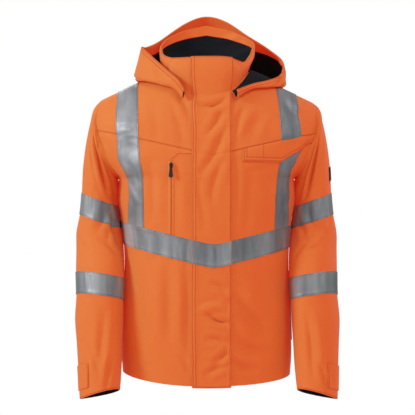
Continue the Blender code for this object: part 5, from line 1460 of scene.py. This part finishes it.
# --- materials --------------------------------------------------------------------------------
class Nodes:
    """A material's node tree, with short ways to add and join nodes."""

    def __init__(self, name):
        self.material = bpy.data.materials.new(name)
        self.material.use_nodes = True
        self.tree = self.material.node_tree
        self.shader = self.tree.nodes["Principled BSDF"]

    def add(self, kind, inputs=None, **settings):
        node = self.tree.nodes.new(kind)
        for name, value in settings.items():
            setattr(node, name, value)
        for name, value in (inputs or {}).items():
            self.feed(node.inputs[name], value)
        return node

    def feed(self, socket, value):
        if isinstance(value, bpy.types.NodeSocket):
            self.tree.links.new(value, socket)
        else:
            socket.default_value = value

    def math(self, operation, first, second=0.0, third=0.0):
        return self.add("ShaderNodeMath", {0: first, 1: second, 2: third}, operation=operation).outputs[0]

    def noise(self, scale, detail=3.0, where=None, stretch=(1, 1, 1)):
        where = where or self.add("ShaderNodeTexCoord").outputs["Object"]
        moved = self.add("ShaderNodeMapping", {"Vector": where, "Scale": stretch}).outputs[0]
        inputs = {"Vector": moved, "Scale": scale, "Detail": detail}
        return self.add("ShaderNodeTexNoise", inputs).outputs["Fac"]

    def near(self, value, width):
        """1 where the value is 0, falling softly to 0 at the width."""
        inputs = {"Value": self.math("ABSOLUTE", value), "From Min": 0.0, "From Max": width, "To Min": 1.0,
                  "To Max": 0.0}
        return self.add("ShaderNodeMapRange", inputs, interpolation_type="SMOOTHSTEP").outputs[0]

    def seams(self):
        """1 on the stitched lines, and a wider band round them."""
        lines = []
        for name, at in (("first_line", EDGE_LINE), ("second_line", SECOND_LINE), ("sewn_line", EDGE_LINE)):
            value = self.add("ShaderNodeAttribute", attribute_name=name).outputs["Fac"]
            lines.append(self.math("SUBTRACT", value, at))
        shares = []
        for width in (LINE_WIDTH, PUCKER_WIDTH):
            first, second, sewn = (self.near(value, width) for value in lines)
            shares.append(self.math("MAXIMUM", self.math("MAXIMUM", first, second), sewn))
        return shares

    def mix(self, share, first, second):
        node = self.add("ShaderNodeMix", data_type="RGBA")
        self.feed(node.inputs["Factor"], share)
        for key, value in (("A", first), ("B", second)):
            sockets = [socket for socket in node.inputs if socket.name == key and socket.type == "RGBA"]
            self.feed(sockets[0], value if isinstance(value, bpy.types.NodeSocket) else (*value, 1.0))
        return [socket for socket in node.outputs if socket.type == "RGBA"][0]

    def weave(self, pitch):
        """Threads crossing over and under, at a pitch in metres along the cut."""
        cut = self.add("ShaderNodeUVMap", uv_map="cut").outputs[0]
        parts = self.add("ShaderNodeSeparateXYZ", {0: cut})
        turns = [self.math("MULTIPLY", parts.outputs[k], 2 * math.pi / pitch) for k in (0, 1)]
        return self.math("MULTIPLY", *(self.math("SINE", turn) for turn in turns))

    def bump(self, height):
        self.feed(self.shader.inputs["Normal"],
                  self.add("ShaderNodeBump", {"Height": height, "Distance": 1.0, "Strength": 1.0}).outputs[0])

    def set(self, **values):
        for name, value in values.items():
            self.feed(self.shader.inputs[name.replace("_", " ")], value)


def total(nodes, *parts):
    """The sum of (value, weight) pairs."""
    result = 0.0
    for value, weight in parts:
        result = nodes.math("MULTIPLY_ADD", value, weight, result)
    return result


def orange_cloth():
    nodes = Nodes("orange_cloth")
    line, band = nodes.seams()
    broad, middle, fine = nodes.noise(9.0, 2.0), nodes.noise(70.0, 3.0), nodes.noise(900.0, 2.0)
    weave = nodes.weave(0.0011)
    shade = nodes.mix(broad, ORANGE_DEEP, ORANGE_LIGHT)
    shade = nodes.mix(nodes.math("MULTIPLY", fine, 0.10), shade, ORANGE_PALE)
    # Stitch lines: thread colour with painted groove shade.
    colour = nodes.mix(nodes.math("MULTIPLY", line, 0.50), shade, ORANGE_STITCH_SHADE)
    backing = nodes.add("ShaderNodeAttribute", attribute_name="backing").outputs["Fac"]
    backing = nodes.math("GREATER_THAN", backing, 0.5)
    colour = nodes.mix(backing, colour, BACKING)
    nodes.set(Base_Color=colour, Roughness=nodes.math("MULTIPLY_ADD", fine, 0.12, 0.66))
    # Painted glow: emitted red standing in for fluorescence, dimmed as painted shade where nearby cloth
    # occludes it and along seams, and off on the dark inner face.
    open_air = nodes.add("ShaderNodeAmbientOcclusion", {"Distance": PAINTED_GLOW_REACH}, samples=6).outputs["AO"]
    glow = nodes.mix(nodes.math("MULTIPLY", line, 0.55), ORANGE_PAINTED_GLOW, ORANGE_PAINTED_GLOW_SEAM)
    painted_glow_in_shade = tuple(PAINTED_GLOW_SHADED * part for part in ORANGE_PAINTED_GLOW)
    glow = nodes.mix(nodes.math("POWER", open_air, PAINTED_GLOW_BEND), painted_glow_in_shade, glow)
    nodes.set(Emission_Color=nodes.mix(backing, glow, (0.0, 0.0, 0.0)))
    nodes.shader.inputs["Emission Strength"].default_value = 1.0
    nodes.shader.inputs["Sheen Weight"].default_value = 0.10
    nodes.shader.inputs["Sheen Roughness"].default_value = 0.45
    nodes.shader.inputs["Specular IOR Level"].default_value = 0.30
    pucker = nodes.math("MULTIPLY", nodes.noise(150.0, 1.0), band)
    nodes.bump(total(nodes, (middle, 0.0009), (weave, 0.000035), (fine, 0.00005), (line, -0.0008),
                     (pucker, 0.0011)))
    return nodes.material


def reflective_tape():
    nodes = Nodes("reflective_tape")
    line, band = nodes.seams()
    middle, beads = nodes.noise(90.0, 3.0), nodes.noise(2600.0, 1.0)
    cut = nodes.add("ShaderNodeUVMap", uv_map="cut").outputs[0]
    # Painted highlight and shade streaks that stand in for the film's reflections; the same noise gives its
    # puckers' bump.
    pucker_sheen_streaks = nodes.noise(1.0, 3.0, cut, TAPE_PUCKER_SHEEN_STREAKS)
    low, high = TAPE_SHEEN_CONTRAST
    contrast = nodes.add("ShaderNodeMapRange", {"Value": pucker_sheen_streaks, "From Min": low, "From Max": high})
    shade = nodes.mix(contrast.outputs[0], TAPE_GREY_PAINTED_SHADE, TAPE_GREY_PAINTED_HIGHLIGHT)
    shade = nodes.mix(nodes.math("MULTIPLY", beads, 0.25), shade, TAPE_PALE)
    # Stitch lines: grey thread colour with painted groove shade.
    nodes.set(Base_Color=nodes.mix(nodes.math("MULTIPLY", line, 0.25), shade, TAPE_STITCH_SHADE),
              Roughness=nodes.math("MULTIPLY_ADD", middle, 0.16, 0.43))
    nodes.shader.inputs["Metallic"].default_value = 0.22
    nodes.shader.inputs["Specular IOR Level"].default_value = 0.5
    pucker = nodes.math("MULTIPLY", nodes.noise(170.0, 1.0), band)
    nodes.bump(total(nodes, (pucker_sheen_streaks, 0.0016), (middle, 0.00050), (beads, 0.00002), (line, -0.00045),
                     (pucker, 0.0010)))
    return nodes.material


def black_cloth(name, colour, roughness, scale, depth, pitch):
    nodes = Nodes(name)
    pile, broad = nodes.noise(scale, 4.0), nodes.noise(30.0, 2.0)
    paler = tuple(FLEECE_SPREAD * part for part in colour)
    nodes.set(Base_Color=nodes.mix(nodes.math("MULTIPLY", pile, broad), colour, paler), Roughness=roughness)
    nodes.shader.inputs["Sheen Weight"].default_value = 0.03
    nodes.shader.inputs["Sheen Roughness"].default_value = 0.5
    nodes.shader.inputs["Specular IOR Level"].default_value = 0.18
    nodes.bump(total(nodes, (pile, depth), (nodes.weave(pitch), depth * 0.2)))
    return nodes.material


def dark_metal():
    nodes = Nodes("dark_metal_coated")
    wear, fine = nodes.noise(420.0, 3.0), nodes.noise(2500.0, 2.0)
    nodes.set(Base_Color=nodes.mix(wear, METAL_DARK, METAL_WORN),
              Roughness=nodes.math("MULTIPLY_ADD", fine, 0.18, 0.28))
    nodes.shader.inputs["Metallic"].default_value = 0.85
    nodes.bump(total(nodes, (fine, 0.00002), (wear, 0.00003)))
    return nodes.material


def thread(name, colour, glow=(0.0, 0.0, 0.0)):
    nodes = Nodes(name)
    # Painted glow: light that the thread emits of its own.
    nodes.set(Emission_Color=(*glow, 1.0), Emission_Strength=1.0)
    twist = nodes.noise(1800.0, 1.0, stretch=(1, 1, 3))
    nodes.set(Base_Color=nodes.mix(twist, tuple(0.7 * part for part in colour), colour), Roughness=0.6)
    return nodes.material


def make_materials():
    return {
        "orange": orange_cloth(),
        "tape": reflective_tape(),
        "black_fleece": black_cloth("black_fleece_pile", FLEECE_DARK, 0.95, 700.0, 0.00045, 0.002),
        "black_zip": black_cloth("black_zip_weave", ZIP_DARK, 0.65, 1500.0, 0.00012, 0.0009),
        "dark_metal": dark_metal(),
        "thread_orange": thread("thread_orange_twist", THREAD_ORANGE, THREAD_PAINTED_GLOW),
        "thread_tape": thread("thread_grey_twist", THREAD_GREY),
    }


# --- stage ------------------------------------------------------------------------------------
def area_light(name, place, aim, size, power):
    data = bpy.data.lights.new(name, "AREA")
    data.shape, data.size, data.energy = "DISK", size, power
    made = bpy.data.objects.new(name, data)
    made.location = place
    made.rotation_euler = (Vector(aim) - Vector(place)).to_track_quat("-Z", "Y").to_euler()
    bpy.context.scene.collection.objects.link(made)


def build_stage():
    """Daylight, six soft lights, a pale floor and the camera."""
    scene = bpy.context.scene
    world = bpy.data.worlds.new("studio")
    scene.world = world
    world.use_nodes = True
    tree = world.node_tree
    background = tree.nodes["Background"]
    background.inputs["Color"].default_value = (1.0, 1.0, 1.0, 1.0)
    path, level = tree.nodes.new("ShaderNodeLightPath"), tree.nodes.new("ShaderNodeMapRange")
    level.inputs["To Min"].default_value = AMBIENT
    level.inputs["To Max"].default_value = 1.0
    tree.links.new(path.outputs["Is Camera Ray"], level.inputs["Value"])
    tree.links.new(level.outputs[0], background.inputs["Strength"])
    for light in LIGHTS:
        area_light(*light)
    data = bpy.data.meshes.new("floor")
    ring = [(FLOOR_RADIUS * math.cos(a), FLOOR_RADIUS * math.sin(a), FLOOR_Z)
            for a in np.linspace(0, 2 * math.pi, 96, endpoint=False)]
    data.from_pydata(ring, [], [list(range(len(ring)))])
    floor = bpy.data.objects.new("floor", data)
    scene.collection.objects.link(floor)
    pale = Nodes("pale_floor")
    pale.set(Base_Color=pale.mix(pale.noise(3.0), (0.80, 0.80, 0.80), (0.84, 0.84, 0.84)), Roughness=0.7)
    data.materials.append(pale.material)
    scene.view_settings.view_transform = "Standard"
    lens = bpy.data.cameras.new("camera")
    lens.sensor_width, lens.sensor_fit, lens.lens = 36.0, "HORIZONTAL", 36.0 * FOCAL_PIXELS / FRAME_PIXELS
    lens.clip_start, lens.clip_end = 0.05, 50.0
    camera = bpy.data.objects.new("camera", lens)
    camera.location, camera.rotation_euler = CAMERA_PLACE, (math.pi / 2, 0.0, 0.0)
    scene.collection.objects.link(camera)
    scene.camera = camera


def main():
    front, back = torso_panels()
    collar = collar_panel(front, back)
    on_right = build_pockets(front)
    build_torso(front, back, on_right)
    build_front_closure(front, collar)
    build_tapes(front, back)
    build_collar(collar)
    for side, sign in (("right", -1), ("left", 1)):
        sleeve = sleeve_panel(front, back, sign)
        build_sleeve(sleeve, side)
        if side == "left":
            build_sleeve_label(sleeve)
    build_hood(hood_panel())
    thread_pieces()
    for name in ("chest_zip_slider", "chest_zip_pull"):
        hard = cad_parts[name]
        hard.data.materials.clear()
        hard.data.materials.append(MATERIALS["dark_metal"])
    build_stage()


THREADS = []
MATERIALS = make_materials()
main()
